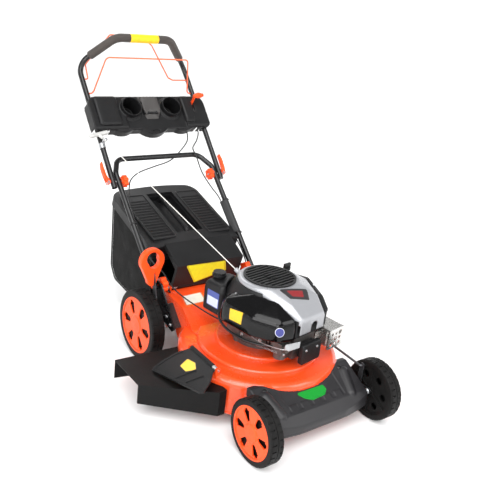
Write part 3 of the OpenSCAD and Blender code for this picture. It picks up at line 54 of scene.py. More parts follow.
# machine axes in millimetres: rear axle at y 0, mid-plane at x 0, ground at z 0
machine = {"shift": (80.5, 44.0923),  # from the machine's axes to the frame's
           "upper": (321.2405, 558.8403, 47.5),  # y and z of the fold bolts, slope of the upper tubes
           "lower": (5, 266, 42.8)}  # y and z of the lower tubes' start, slope


def at(x, y, z):
    shiftX, shiftY = machine["shift"]
    return Vector(((x + shiftX) / 1000, (y + shiftY) / 1000, z / 1000))


def onSlope(line, x, along, n):  # x across, along a sloping line from its start, n square to it
    y, z, slope = line
    a = math.radians(slope)
    return at(x, y + along * math.cos(a) - n * math.sin(a), z + along * math.sin(a) + n * math.cos(a))


def onUpper(x, along, n):
    return onSlope(machine["upper"], x, along, n)


def onLower(x, along, n):
    return onSlope(machine["lower"], x, along, n)


# shader and geometry graphs: Wire is a socket with arithmetic, Graph adds every other node
class Wire:
    def __init__(self, graph, socket):
        self.graph, self.socket = graph, socket

    def __add__(self, other): return self.graph.math("ADD", self, other)
    def __radd__(self, other): return self.graph.math("ADD", other, self)
    def __sub__(self, other): return self.graph.math("SUBTRACT", self, other)
    def __rsub__(self, other): return self.graph.math("SUBTRACT", other, self)
    def __mul__(self, other): return self.graph.math("MULTIPLY", self, other)
    def __rmul__(self, other): return self.graph.math("MULTIPLY", other, self)


class Graph:
    def __init__(self, tree):
        self.tree = tree

    def feed(self, socket, value):
        if isinstance(value, Wire):
            self.tree.links.new(value.socket, socket)
        else:
            socket.default_value = value

    def add(self, kind, settings=None, sockets=None, out=0):
        node = self.tree.nodes.new(kind)
        for key, value in (settings or {}).items():
            setattr(node, key, value)
        for key, value in (sockets or {}).items():
            for one in value if isinstance(value, list) else [value]:
                self.feed(node.inputs[key], one)
        return Wire(self, node.outputs[out]) if out is not None else node

    def math(self, operation, a, b=0.0):
        return self.add("ShaderNodeMath", {"operation": operation}, {0: a, 1: b})

    def mix(self, factor, a, b):
        return self.add("ShaderNodeMix", {"data_type": "RGBA"}, {0: factor, 6: a, 7: b}, 2)

    def spread(self, value, low, high, outLow=0.0, outHigh=1.0):
        return self.add("ShaderNodeMapRange", {}, {0: value, 1: low, 2: high, 3: outLow, 4: outHigh})

    def noise(self, where, scale, detail):
        return self.add("ShaderNodeTexNoise", {}, {"Vector": where, "Scale": scale, "Detail": detail,
                                                   "Roughness": 0.55})

    def vector(self, x=0.0, y=0.0, z=0.0):
        return self.add("ShaderNodeCombineXYZ", {}, {0: x, 1: y, 2: z})


def rgb(r, g, b):  # display values 0 to 255 to linear
    def linear(c):
        c = c / 255
        return c / 12.92 if c <= 0.04045 else ((c + 0.055) / 1.055) ** 2.4
    return (linear(r), linear(g), linear(b), 1.0)


def shaded(base, share):
    return tuple(c * share for c in base[:3]) + (1.0,)


class Finish(Graph):
    sockets = {"colour": "Base Color", "rough": "Roughness", "metal": "Metallic", "coat": "Coat Weight",
               "coatRough": "Coat Roughness", "spec": "Specular IOR Level", "sheen": "Sheen Weight",
               "normal": "Normal", "glow": "Emission Color", "glowStrength": "Emission Strength"}

    def __init__(self, name):
        self.material = bpy.data.materials.new(name)
        self.material.use_nodes = True
        super().__init__(self.material.node_tree)
        self.shader = next(n for n in self.tree.nodes if n.type == "BSDF_PRINCIPLED")
        self.place = self.add("ShaderNodeTexCoord", out="Object")

    def put(self, **values):
        for key, value in values.items():
            self.feed(self.shader.inputs[self.sockets[key]], value)
        return self.material

    def bump(self, height, strength, distance, over=None):
        sockets = {"Height": height, "Strength": strength, "Distance": distance}
        if over:
            sockets["Normal"] = over
        return self.add("ShaderNodeBump", {}, sockets)

    def softEdge(self, radius):
        return self.add("ShaderNodeBevel", {"samples": 4}, {"Radius": radius})

    def parts(self, vector):
        split = self.add("ShaderNodeSeparateXYZ", {}, {0: vector})
        return [Wire(self, out) for out in split.socket.node.outputs]

    def mapParts(self):  # u and v of the piece's own map
        return self.parts(self.add("ShaderNodeUVMap", {"uv_map": "UVMap"}))[:2]


finishes = {
    "deckOrange": rgb(246, 78, 30), "capOrange": rgb(240, 76, 26), "wireOrange": rgb(240, 104, 62),
    "coverBlack": rgb(20, 20, 21), "bumperGrey": rgb(32, 31, 33), "chuteBlack": rgb(10, 10, 10),
    "insertGrey": rgb(58, 56, 55), "gripGrey": rgb(176, 176, 174), "pianoBlack": rgb(6, 6, 7),
    "badgeGreen": rgb(22, 138, 46), "tubeBlack": rgb(13, 13, 14), "zincSteel": rgb(196, 198, 200),
    "darkSteel": rgb(96, 97, 100), "castAlloy": rgb(112, 110, 108), "mufflerSteel": rgb(222, 221, 218),
    "shroudSilver": rgb(148, 149, 153), "tyreBlack": rgb(11, 10, 10), "beltRubber": rgb(26, 26, 26),
    "cableSheath": rgb(22, 22, 23), "sleeveYellow": rgb(240, 186, 18), "foam": rgb(66, 60, 56),
    "cloth": rgb(8, 8, 8)}


def deckPaint():
    f = Finish("deckPaint")
    speckle = f.noise(f.place, 900, 2)
    cloud = f.noise(f.place, 9, 4)
    dust = f.spread(f.parts(f.place)[2], 0.04, 0.12, 0.35, 0.0) * f.noise(f.place, 40, 5)
    base = finishes["deckOrange"]
    colour = f.mix(f.spread(cloud, 0.3, 0.75), base, shaded(base, 0.9))
    colour = f.mix(dust, colour, rgb(150, 92, 66))
    return f.put(colour=colour, rough=f.spread(cloud, 0.2, 0.8, 0.2, 0.32) + dust * 0.4, coat=0.5,
                 coatRough=0.08, normal=f.bump(speckle, 0.06, 0.0006, f.softEdge(0.0016)))


def moulded(name, rough, grain, depth, edge=0.0012, spec=0.5):  # grained injection moulding
    f = Finish(name)
    fine = f.noise(f.place, grain, 2)
    cloud = f.noise(f.place, 14, 4)
    base = finishes[name]
    colour = f.mix(f.spread(cloud, 0.3, 0.75), base, shaded(base, 1.35))
    return f.put(colour=colour, rough=f.spread(cloud, 0.25, 0.8, rough - 0.06, rough + 0.1), spec=spec,
                 normal=f.bump(fine, depth, 0.0005, f.softEdge(edge)))


def polished(name, rough=0.1):  # glossy painted plastic with a little dust
    f = Finish(name)
    cloud = f.noise(f.place, 18, 5)
    dust = f.spread(f.noise(f.place, 700, 2), 0.62, 0.8)
    colour = f.mix(dust * 0.12, finishes[name], rgb(120, 118, 114))
    return f.put(colour=colour, rough=f.spread(cloud, 0.3, 0.8, rough, rough + 0.07) + dust * 0.1,
                 coat=0.12, coatRough=0.05, spec=0.25, normal=f.softEdge(0.0016))


def coatedTube():
    f = Finish("tubeBlack")
    fine = f.noise(f.place, 1100, 2)
    cloud = f.noise(f.place, 20, 4)
    base = finishes["tubeBlack"]
    colour = f.mix(f.spread(cloud, 0.3, 0.8), base, shaded(base, 1.5))
    return f.put(colour=colour, rough=f.spread(cloud, 0.2, 0.8, 0.22, 0.36),
                 normal=f.bump(fine, 0.08, 0.0004))


def bareMetal(name, rough, pits, grime):
    f = Finish(name)
    fine = f.noise(f.place, pits, 3)
    stain = f.spread(f.noise(f.place, 30, 5), 0.42, 0.72)
    base = finishes[name]
    colour = f.mix(stain * grime, base, shaded(base, 0.4))
    return f.put(colour=colour, metal=0.95,
                 rough=f.spread(fine, 0.2, 0.8, rough - 0.08, rough + 0.1) + stain * 0.1,
                 normal=f.bump(fine, 0.22, 0.0005, f.softEdge(0.0007)))


def silverPaint():
    f = Finish("shroudSilver")
    flake = f.noise(f.place, 2600, 1)
    cloud = f.noise(f.place, 10, 3)
    colour = f.mix(f.spread(flake, 0.3, 0.7) * 0.35, finishes["shroudSilver"], rgb(208, 210, 214))
    return f.put(colour=colour, metal=0.3, rough=f.spread(cloud, 0.3, 0.7, 0.26, 0.34), coat=0.35,
                 coatRough=0.06, normal=f.bump(flake, 0.03, 0.0003, f.softEdge(0.002)))


def tyreRubber():
    f = Finish("tyreRubber")
    fine = f.noise(f.place, 700, 3)
    cloud = f.noise(f.place, 26, 4)
    colour = f.mix(f.spread(cloud, 0.35, 0.75) * 0.5, finishes["tyreBlack"], rgb(26, 25, 24))
    return f.put(colour=colour, rough=f.spread(cloud, 0.2, 0.8, 0.52, 0.7), spec=0.22,
                 normal=f.bump(fine, 0.18, 0.0006, f.softEdge(0.001)))


def softRubber(name, rough=0.6):
    f = Finish(name)
    fine = f.noise(f.place, 1600, 2)
    cloud = f.noise(f.place, 40, 3)
    base = finishes[name]
    colour = f.mix(f.spread(cloud, 0.3, 0.8), base, shaded(base, 1.6))
    return f.put(colour=colour, rough=f.spread(cloud, 0.2, 0.8, rough - 0.08, rough + 0.08),
                 normal=f.bump(fine, 0.2, 0.0004))


def foamSkin():
    f = Finish("foamSkin")
    cells = f.add("ShaderNodeTexVoronoi", {"feature": "SMOOTH_F1"}, {"Vector": f.place, "Scale": 620.0})
    cloud = f.noise(f.place, 24, 4)
    base = finishes["foam"]
    colour = f.mix(f.spread(cells, 0.2, 0.8), base, shaded(base, 0.55))
    colour = f.mix(f.spread(cloud, 0.45, 0.8) * 0.4, colour, rgb(88, 80, 74))
    return f.put(colour=colour, rough=f.spread(cloud, 0.2, 0.8, 0.7, 0.85), sheen=0.15,
                 normal=f.bump(cells, 0.35, 0.0007))


def bagWeave(threads=2600):
    f = Finish("bagWeave")
    u, v = f.mapParts()
    cell = f.math("SINE", u * threads) * f.math("SINE", v * threads)
    cloud = f.noise(f.place, 16, 5)
    base = finishes["cloth"]
    colour = f.mix(f.spread(cell, -0.6, 0.9), base, shaded(base, 2.1))
    colour = f.mix(f.spread(cloud, 0.5, 0.85) * 0.35, colour, rgb(32, 31, 29))
    return f.put(colour=colour, rough=f.spread(cloud, 0.2, 0.8, 0.62, 0.8), sheen=0.02, spec=0.12,
                 normal=f.bump(cell, 0.3, 0.0007))


def ropeBraid(strands=12.566, lays=1400):
    f = Finish("ropeBraid")
    u, v = f.mapParts()
    lay = f.math("MAXIMUM", f.math("SINE", u * strands + v * lays), f.math("SINE", u * strands - v * lays))
    colour = f.mix(f.spread(lay, -0.5, 0.9), rgb(190, 188, 180), rgb(246, 245, 240))
    return f.put(colour=colour, rough=f.spread(lay, -1, 1, 0.8, 0.6), normal=f.bump(lay, 0.5, 0.0006))


def printedFilm(name, base, rim, band=None, edge=0.09):  # u runs from rim to middle, v from bottom to top
    f = Finish(name)
    u, v = f.mapParts()
    cloud = f.noise(f.place, 60, 3)
    inside = f.mix(f.spread(v, 0.6, 0.62), base, band) if band else base
    colour = f.mix(f.spread(u, edge, edge + 0.01), rim, inside)
    colour = f.mix(f.spread(cloud, 0.4, 0.8) * 0.12, colour, rgb(90, 86, 80))
    return f.put(colour=colour, rough=f.spread(cloud, 0.2, 0.8, 0.25, 0.38), coat=0.25, coatRough=0.1)


deckOrange = deckPaint()
capOrange = moulded("capOrange", 0.36, 1800, 0.06, spec=0.3)
wireOrange = moulded("wireOrange", 0.36, 1600, 0.05, 0.0004)
coverBlack = moulded("coverBlack", 0.44, 1500, 0.2, spec=0.3)
bumperGrey = moulded("bumperGrey", 0.4, 1500, 0.16, spec=0.45)
chuteBlack = moulded("chuteBlack", 0.46, 1100, 0.24, spec=0.18)
insertGrey = moulded("insertGrey", 0.5, 1500, 0.18)
gripGrey = moulded("gripGrey", 0.42, 1500, 0.1)
pianoBlack = polished("pianoBlack")
badgeGreen = polished("badgeGreen", 0.22)
tubeBlack = coatedTube()
zincSteel = bareMetal("zincSteel", 0.3, 900, 0.2)
darkSteel = bareMetal("darkSteel", 0.42, 700, 0.45)
castAlloy = bareMetal("castAlloy", 0.5, 380, 0.6)
mufflerSteel = bareMetal("mufflerSteel", 0.2, 500, 0.2)
shroudSilver = silverPaint()
tyreBlack = tyreRubber()
beltRubber = softRubber("beltRubber")
cableSheath = softRubber("cableSheath", 0.4)
sleeveYellow = softRubber("sleeveYellow", 0.5)
foamGrip = foamSkin()
bagCloth = bagWeave()
starterCord = ropeBraid()
filmYellow = printedFilm("filmYellow", rgb(234, 188, 14), rgb(206, 162, 10))
# greener, brighter copy of the yellow film: painted light that offsets the orange bounce and the shade on the
# flap's downward face
flapYellow = printedFilm("flapYellow", rgb(236, 244, 46), rgb(214, 208, 32))
signYellow = printedFilm("signYellow", rgb(234, 190, 22), rgb(34, 32, 28))
filmWhite = printedFilm("filmWhite", rgb(232, 230, 226), rgb(206, 120, 96))
filmBlue = printedFilm("filmBlue", rgb(196, 206, 226), rgb(58, 76, 150), rgb(58, 76, 150))
spotBlue = printedFilm("spotBlue", rgb(50, 56, 130), rgb(226, 228, 240))
filmRed = printedFilm("filmRed", rgb(132, 34, 38), rgb(46, 44, 46), edge=0.42)
print("stage: finishes made")

dress = [
    (deckOrange, ["deck"]),
    (capOrange, ["height_grip", "cam_lever_right", "cam_lever_left", "star_knob_right", "star_knob_left",
                 "lower_knob_right", "lower_knob_left", "speed_lever", "front_cap_right", "front_cap_left",
                 "rear_cap_right", "rear_cap_left"]),
    (wireOrange, ["brake_bail", "drive_bail"]),
    (coverBlack, ["rear_flap", "side_flap", "bag_lid", "console", "front_guard", "fan_grille", "fuel_cap",
                  "dipstick", "blower_housing", "fuel_tank"]),
    (bumperGrey, ["front_bumper"]),
    (chuteBlack, ["discharge_chute"]),
    (pianoBlack, ["air_filter_cover"]),
    (tubeBlack, ["handle_brackets", "lower_handle", "upper_handle", "bag_frame"]),
    (zincSteel, ["hinge_pins", "clamp_bolts", "rope_guide", "crankshaft", "gearbox_pulley"]),
    (darkSteel, ["front_axle", "rear_axle", "link_rod", "blade_adapter", "blade"]),
    (castAlloy, ["engine_block", "carburettor", "flywheel", "gearbox"]),
    (mufflerSteel, ["muffler", "muffler_guard"]),
    (shroudSilver, ["engine_shroud"]),
    (gripGrey, ["starter_grip"]),
    (tyreBlack, ["front_wheel_right", "front_wheel_left", "rear_wheel_right", "rear_wheel_left"])]
for material, members in dress:
    for member in members:
        cad[member].data.materials.clear()
        cad[member].data.materials.append(material)


bothSides = ((-1, "Right"), (1, "Left"))


# mesh helpers
def shown(name, data):
    thing = bpy.data.objects.new(name, data)
    scene.collection.objects.link(thing)
    return thing


def piece(name, verts, faces, material, smooth=True):
    mesh = bpy.data.meshes.new(name)
    mesh.from_pydata([tuple(v) for v in verts], [], faces)
    mesh.validate()
    if smooth:
        mesh.shade_smooth()
    mesh.materials.append(material)
    return shown(name, mesh)


def finishPiece(thing, body, slot, *stands):
    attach(thing, body)
    if stands:
        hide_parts(*stands)


def flexed(thing, start, end, node):  # piece baked into world space in place of a CAD node, which it hides
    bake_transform(thing)
    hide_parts(node)


def applied(thing):  # modifiers into a plain mesh
    shape = bpy.data.meshes.new_from_object(thing.evaluated_get(bpy.context.evaluated_depsgraph_get()))
    thing.modifiers.clear()
    thing.data = shape


def mergeDoubles(mesh, reach, turnOut):
    shape = bmesh.new()
    shape.from_mesh(mesh)
    bmesh.ops.remove_doubles(shape, verts=shape.verts, dist=reach)
    if turnOut:
        bmesh.ops.recalc_face_normals(shape, faces=shape.faces)
    shape.to_mesh(mesh)
    shape.free()


def outward(thing):  # merge doubles and turn the faces out
    mergeDoubles(thing.data, 0.000001, True)


def solid(name, verts, faces, material, body, slot):  # closed piece with its faces turned out
    thing = piece(name, verts, faces, material)
    outward(thing)
    finishPiece(thing, body, slot)


def bridged(rings, n, closed=False, first=0):  # quads between rings of n points
    faces = []
    for i in range(rings if closed else rings - 1):
        a, b = first + i * n, first + (i + 1) % rings * n
        for k in range(n):
            m = (k + 1) % n
            faces.append((a + k, a + m, b + m, b + k))
    return faces


def capped(rings, n):  # both ends of a row of rings
    return [tuple(reversed(range(n))), tuple(range((rings - 1) * n, rings * n))]


def mapped(thing, marks):  # UV map from one mark for each vertex
    layer = thing.data.uv_layers.new(name="UVMap")
    for loop in thing.data.loops:
        layer.data[loop.index].uv = marks[loop.vertex_index]


def wrappedLoop(a, bigR, b, smallR, bigSteps, smallSteps):  # centre, radius and turn round two circles
    d = b - a
    wrap = math.acos((bigR - smallR) / d.length)
    lean = math.atan2(d.y, d.x)
    loop = [(a, bigR, lean + wrap + (2 * math.pi - 2 * wrap) * k / bigSteps) for k in range(bigSteps + 1)]
    return loop + [(b, smallR, lean - wrap + 2 * wrap * k / smallSteps) for k in range(smallSteps + 1)]


def spoke(turn, reach):
    return Vector((math.cos(turn), math.sin(turn))) * reach


def flow(points, steps):  # smooth curve through points
    out = []
    last = len(points) - 1
    for i in range(last):
        a, b = points[max(i - 1, 0)], points[i]
        c, d = points[i + 1], points[min(i + 2, last)]
        for k in range(steps):
            t = k / steps
            out.append(0.5 * (2 * b + (c - a) * t + (2 * a - 5 * b + 4 * c - d) * t * t
                              + (3 * b - a - 3 * c + d) * t ** 3))
    out.append(points[-1])
    return out


def tube(name, points, radius, sides, material, body=None, slot=None, stands=(), swell=None):
    verts, marks, run = [], [], 0.0  # radius in millimetres; the map's u runs round, v along in metres
    last = len(points) - 1
    steep = abs((points[1] - points[0]).normalized().z) >= 0.9
    up = Vector((1, 0, 0)) if steep else Vector((0, 0, 1))
    for i, p in enumerate(points):
        t = (points[min(i + 1, last)] - points[max(i - 1, 0)]).normalized()
        up = (up - t * up.dot(t)).normalized()
        side = t.cross(up)
        run += (p - points[max(i - 1, 0)]).length
        r = radius / 1000 * (swell(i / last) if swell else 1)
        for k in range(sides):
            a = 2 * math.pi * k / sides
            verts.append(p + (up * math.cos(a) + side * math.sin(a)) * r)
            marks.append((k / sides, run))
    thing = piece(name, verts, bridged(last + 1, sides) + capped(last + 1, sides), material)
    layer = thing.data.uv_layers.new(name="UVMap")
    for face in thing.data.polygons:
        rounds = [marks[v][0] for v in face.vertices]
        overSeam = max(rounds) - min(rounds) > 0.5
        for loop, v in zip(face.loop_indices, face.vertices):
            u, run = marks[v]
            layer.data[loop].uv = (u + 1 if overSeam and u < 0.5 else u, run)
    if body:
        finishPiece(thing, body, slot, *stands)
    return thing


def turnedBends(points, bend, step):  # corners of a bent tube rounded with arcs
    out = [points[0]]
    for i in range(1, len(points) - 1):
        a, p, c = points[i - 1], points[i], points[i + 1]
        u, v = (a - p).normalized(), (c - p).normalized()
        half = u.angle(v) / 2
        cut = bend / math.tan(half)
        middle = p + (u + v).normalized() * (bend / math.sin(half))
        start, stop = p + u * cut - middle, p + v * cut - middle
        whole = start.angle(stop)
        count = max(2, int(math.degrees(whole) / step))
        axis = start.cross(stop).normalized()
        for k in range(count + 1):
            out.append(middle + Matrix.Rotation(whole * k / count, 3, axis) @ start)
    out.append(points[-1])
    return out


def refined(points, reach):  # extra points so that no step is longer than reach
    out = [points[0]]
    for a, b in zip(points, points[1:]):
        count = max(1, math.ceil((b - a).length / reach))
        out += [a.lerp(b, k / count) for k in range(1, count + 1)]
    return out


bodyOf = {node: body for body, members in frame["record"]["behaviour"]["bodies"].items() for node in members}
slotOf = {row["node"]: row["material_slot"] for row in frame["record"]["subparts"]}


def mergedCopy(node, name):  # joined copy of a CAD node
    mesh = cad[node].data.copy()
    mesh.name = name
    mergeDoubles(mesh, 0.00002, False)
    if "custom_normal" in mesh.attributes:
        mesh.attributes.remove(mesh.attributes["custom_normal"])
    return shown(name, mesh)


def softened(node, name, grain, rounds):  # moulded copy with rounded edges, grain in millimetres
    thing = mergedCopy(node, name)
    material = thing.data.materials[0]
    remesh = thing.modifiers.new("remesh", "REMESH")
    remesh.mode, remesh.voxel_size = "VOXEL", grain / 1000
    relax = thing.modifiers.new("relax", "SMOOTH")
    relax.factor, relax.iterations = 0.5, rounds
    applied(thing)
    thing.data.materials.clear()
    thing.data.materials.append(material)
    thing.data.shade_smooth()
    finishPiece(thing, bodyOf[node], slotOf[node], node)
    return thing


def surfaceOf(thing):  # search tree over an object's surface
    return BVHTree.FromPolygons([v.co.copy() for v in thing.data.vertices],
                                [tuple(f.vertices) for f in thing.data.polygons])


def cast(surface, point, aim, reach=0.05):  # where a line against aim through point meets a surface
    spot, normal, index, way = surface.ray_cast(point + aim * reach, -aim, reach * 2.4)
    if spot is None:
        spot, normal = surface.find_nearest(point)[0], aim
    return spot, normal


patches = {"rings": (0.0, 0.02, 0.06, 0.12, 0.2, 0.5, 0.75, 1.0),  # shares of the way from rim to middle
           "turn": 15, "reach": 0.005, "rimLift": 0.4}


def patch(name, corners, aim, surface, material, body, slot, bend, rise=0.3, deep=0.8, crown=0.0):
    aim = Vector(aim).normalized()
    start = (corners[0] + corners[-1]) / 2
    rim = turnedBends([start] + corners + [start], bend / 1000, patches["turn"])
    rim = refined(rim, patches["reach"])[:-1]
    hub = sum(rim, Vector()) / len(rim)
    turning = sum(((p - hub).cross(q - hub) for p, q in zip(rim, rim[1:])), Vector())
    if turning.dot(aim) < 0:
        rim.reverse()
    low, high = min(p.z for p in rim), max(p.z for p in rim)
    verts, marks = [], []
    for share in patches["rings"]:
        for p in rim if share < 1 else [hub]:
            q = p.lerp(hub, share)
            spot, normal = cast(surface, q, aim)
            lift = 1 if share else patches["rimLift"]
            if crown:  # rounded rim
                lift = math.sqrt(1 - (1 - min(1, share / crown)) ** 2)
            verts.append(spot + aim * (rise / 1000 * lift))
            marks.append((share, (q.z - low) / max(high - low, 0.0001)))
    n, rings = len(rim), len(patches["rings"]) - 1
    faces = bridged(rings, n)
    faces += [((rings - 1) * n + k, (rings - 1) * n + (k + 1) % n, rings * n) for k in range(n)]
    thing = piece(name, verts, faces, material)
    mapped(thing, marks)
    film = thing.modifiers.new("film", "SOLIDIFY")
    film.thickness, film.offset = deep / 1000, -1
    applied(thing)
    finishPiece(thing, body, slot)


# geometry trees for what repeats
def nodeTree(name, inputs):
    tree = bpy.data.node_groups.new(name, "GeometryNodeTree")
    tree.interface.new_socket("Geometry", in_out="INPUT", socket_type="NodeSocketGeometry")
    for label, value in inputs.items():
        kind = "Int" if isinstance(value, int) else "Float"
        socket = tree.interface.new_socket(label, in_out="INPUT", socket_type="NodeSocket" + kind)
        socket.default_value = value
    tree.interface.new_socket("Finish", in_out="INPUT", socket_type="NodeSocketMaterial")
    tree.interface.new_socket("Geometry", in_out="OUTPUT", socket_type="NodeSocketGeometry")
    graph = Graph(tree)
    source = tree.nodes.new("NodeGroupInput")
    return graph, {socket.name: Wire(graph, socket) for socket in source.outputs if socket.name}


def closeTree(graph, given, shape):
    real = graph.add("GeometryNodeRealizeInstances", {}, {"Geometry": shape})
    done = graph.add("GeometryNodeSetMaterial", {}, {"Geometry": real, "Material": given["Finish"]})
    graph.add("NodeGroupOutput", {}, {"Geometry": done}, None)
    return graph.tree


def moved(graph, shape, place):
    return graph.add("GeometryNodeTransform", {}, {"Geometry": shape, "Translation": place})


def instances(graph, points, shape, aim, **more):  # one copy of a shape on every point, turned to aim
    turn = graph.add("FunctionNodeAlignRotationToVector", {"axis": "Z"}, {"Vector": aim})
    return graph.add("GeometryNodeInstanceOnPoints", {}, {"Points": points, "Instance": shape,
                                                          "Rotation": turn, **more})


def placed(graph, given, shape):  # copies by the points' own aim and size
    aim = graph.add("GeometryNodeInputNamedAttribute", {"data_type": "FLOAT_VECTOR"}, {"Name": "aim"})
    size = graph.add("GeometryNodeInputNamedAttribute", {"data_type": "FLOAT"}, {"Name": "size"})
    return closeTree(graph, given, instances(graph, given["Geometry"], shape, aim, Scale=size))


def boltTree():
    g, given = nodeTree("flangeBolt", {"Sides": 6, "Head Radius": 0.0058, "Head Height": 0.0046,
                                       "Flange Radius": 0.0076, "Flange Height": 0.0016})
    sides, radius, high = given["Sides"], given["Head Radius"], given["Head Height"]

    def cone(vertices, top, bottom, depth):
        return g.add("GeometryNodeMeshCone", {}, {"Vertices": vertices, "Radius Top": top,
                                                  "Radius Bottom": bottom, "Depth": depth})

    flange = cone(24, radius * 1.06, given["Flange Radius"], given["Flange Height"])
    head = cone(sides, radius, radius, high)
    crown = moved(g, cone(sides, radius * 0.78, radius, high * 0.2), g.vector(z=high))
    return placed(g, given, g.add("GeometryNodeJoinGeometry", {}, {"Geometry": [flange, head, crown]}))


def tieTree():
    g, given = nodeTree("cableTie", {"Loop Radius": 0.012, "Band Width": 0.0046, "Band Thickness": 0.0013,
                                     "Head Length": 0.0052, "Head Width": 0.006})
    ring = g.add("GeometryNodeCurvePrimitiveCircle", {"mode": "RADIUS"},
                 {"Resolution": 32, "Radius": given["Loop Radius"]})
    strip = g.add("GeometryNodeCurvePrimitiveQuadrilateral", {"mode": "RECTANGLE"},
                  {"Width": given["Band Thickness"], "Height": given["Band Width"]})
    band = g.add("GeometryNodeCurveToMesh", {}, {"Curve": ring, "Profile Curve": strip})
    lump = g.vector(given["Head Length"], given["Head Width"], given["Band Width"] * 1.3)
    head = moved(g, g.add("GeometryNodeMeshCube", {}, {"Size": lump}), g.vector(given["Loop Radius"] + 0.0016))
    return placed(g, given, g.add("GeometryNodeJoinGeometry", {}, {"Geometry": [band, head]}))


def stitchTree():
    g, given = nodeTree("seamStitch", {"Spacing": 0.0075, "Thread Radius": 0.0007, "Stitch Length": 0.005})
    line = g.add("GeometryNodeMeshToCurve", {}, {0: given["Geometry"]})
    line = g.add("GeometryNodeResampleCurve", {"mode": "LENGTH"}, {"Curve": line, "Length": given["Spacing"]})
    bead = g.add("GeometryNodeMeshUVSphere", {}, {"Segments": 6, "Rings": 5, "Radius": 1.0})
    long = g.vector(given["Thread Radius"], given["Thread Radius"], given["Stitch Length"] * 0.5)
    bead = g.add("GeometryNodeTransform", {}, {"Geometry": bead, "Scale": long})
    return closeTree(g, given, instances(g, line, bead, g.add("GeometryNodeInputTangent")))


def slatTree():
    g, given = nodeTree("grilleSlat", {"Slat Length": 0.08, "Slat Width": 0.003, "Slat Height": 0.006})
    size = g.vector(given["Slat Length"], given["Slat Width"], given["Slat Height"])
    bar = g.add("GeometryNodeMeshCube", {}, {"Size": size})
    return placed(g, given, moved(g, bar, g.vector(z=given["Slat Height"] * -0.5)))


def grown(name, points, tree, values, body, slot, aims=None, sizes=None, edges=()):
    mesh = bpy.data.meshes.new(name)  # runs a tree on points or lines and keeps a plain mesh
    mesh.from_pydata([tuple(v) for v in points], list(edges), [])
    if isinstance(aims, Vector):
        aims = [aims] * len(points)
    marks = (("aim", "FLOAT_VECTOR", "vector", aims), ("size", "FLOAT", "value", sizes or [1.0] * len(points)))
    for label, kind, field, data in marks if aims else ():
        layer = mesh.attributes.new(label, kind, "POINT")
        for mark, value in zip(layer.data, data):
            setattr(mark, field, value)
    thing = shown(name, mesh)
    maker = thing.modifiers.new("maker", "NODES")
    maker.node_group = tree
    for socket in tree.interface.items_tree:
        if socket.item_type == "SOCKET" and socket.in_out == "INPUT" and socket.name in values:
            maker[socket.identifier] = values[socket.name]
    applied(thing)
    finishPiece(thing, body, slot)


# camera at the photograph's angle
shot = {"spot": (-1352.2, -1883.9, 1304.6), "yaw": -38.18, "pitch": 20.62, "roll": 6.7, "lens": 51.14,
        "far": 200}


def setCamera():
    yaw, pitch, roll = (math.radians(shot[k]) for k in ("yaw", "pitch", "roll"))
    ahead = Vector((-math.sin(yaw) * math.cos(pitch), math.cos(yaw) * math.cos(pitch), -math.sin(pitch)))
    right = Vector((math.cos(yaw), math.sin(yaw), 0))
    up = right.cross(ahead)
    right, up = right * math.cos(roll) + up * math.sin(roll), up * math.cos(roll) - right * math.sin(roll)
    view = shown("photoView", bpy.data.cameras.new("photoView"))
    view.data.lens = shot["lens"]
    view.data.clip_end = shot["far"]
    turn = Matrix((right, up, -ahead)).transposed().to_4x4()
    view.matrix_world = Matrix.Translation(at(*shot["spot"])) @ turn
    scene.camera = view


studio = {"world": 0.36, "sun": 2.55, "sunSpread": 50, "sunFrom": (-0.35, -0.45, 1.0), "aim": (0, 0, 0.35),
          "lamps": [((-2.4, -1.2, 1.7), 1.5, 34), ((1.5, -2.6, 2.3), 1.6, 30),  # place, size, power
                    ((0.6, 2.4, 2.4), 2.0, 34), ((-1.7, -2.4, 1.25), 1.0, 18)],
          "flat": 14.0, "bend": 4.0, "rise": 7.0, "sink": 0.0006, "around": 48, "pale": (0.86, 0.9),
          "glow": 0.4}


def facing(way):
    return way.to_track_quat("-Z", "Y").to_euler()


def setLights():
    scene.view_settings.view_transform = "Standard"
    scene.view_settings.look = "None"
    world = bpy.data.worlds.new("studioWhite")
    world.use_nodes = True
    scene.world = world
    sky = world.node_tree.nodes["Background"]
    sky.inputs["Color"].default_value = (1, 1, 1, 1)
    sky.inputs["Strength"].default_value = studio["world"]
    sun = bpy.data.lights.new("softSun", "SUN")
    sun.energy, sun.angle = studio["sun"], math.radians(studio["sunSpread"])
    shown("softSun", sun).rotation_euler = facing(-Vector(studio["sunFrom"]))
    for i, (spot, size, power) in enumerate(studio["lamps"]):
        lamp = bpy.data.lights.new(f"softbox{i}", "AREA")
        lamp.size, lamp.energy = size, power
        holder = shown(f"softbox{i}", lamp)
        holder.location = spot
        holder.rotation_euler = facing(Vector(studio["aim"]) - Vector(spot))


def palePaint(name, **more):
    f = Finish(name)
    low, high = ((c, c, c, 1) for c in studio["pale"])
    return f.put(colour=f.mix(f.noise(f.place, 3, 2), low, high), rough=0.9, spec=0.1, **more)


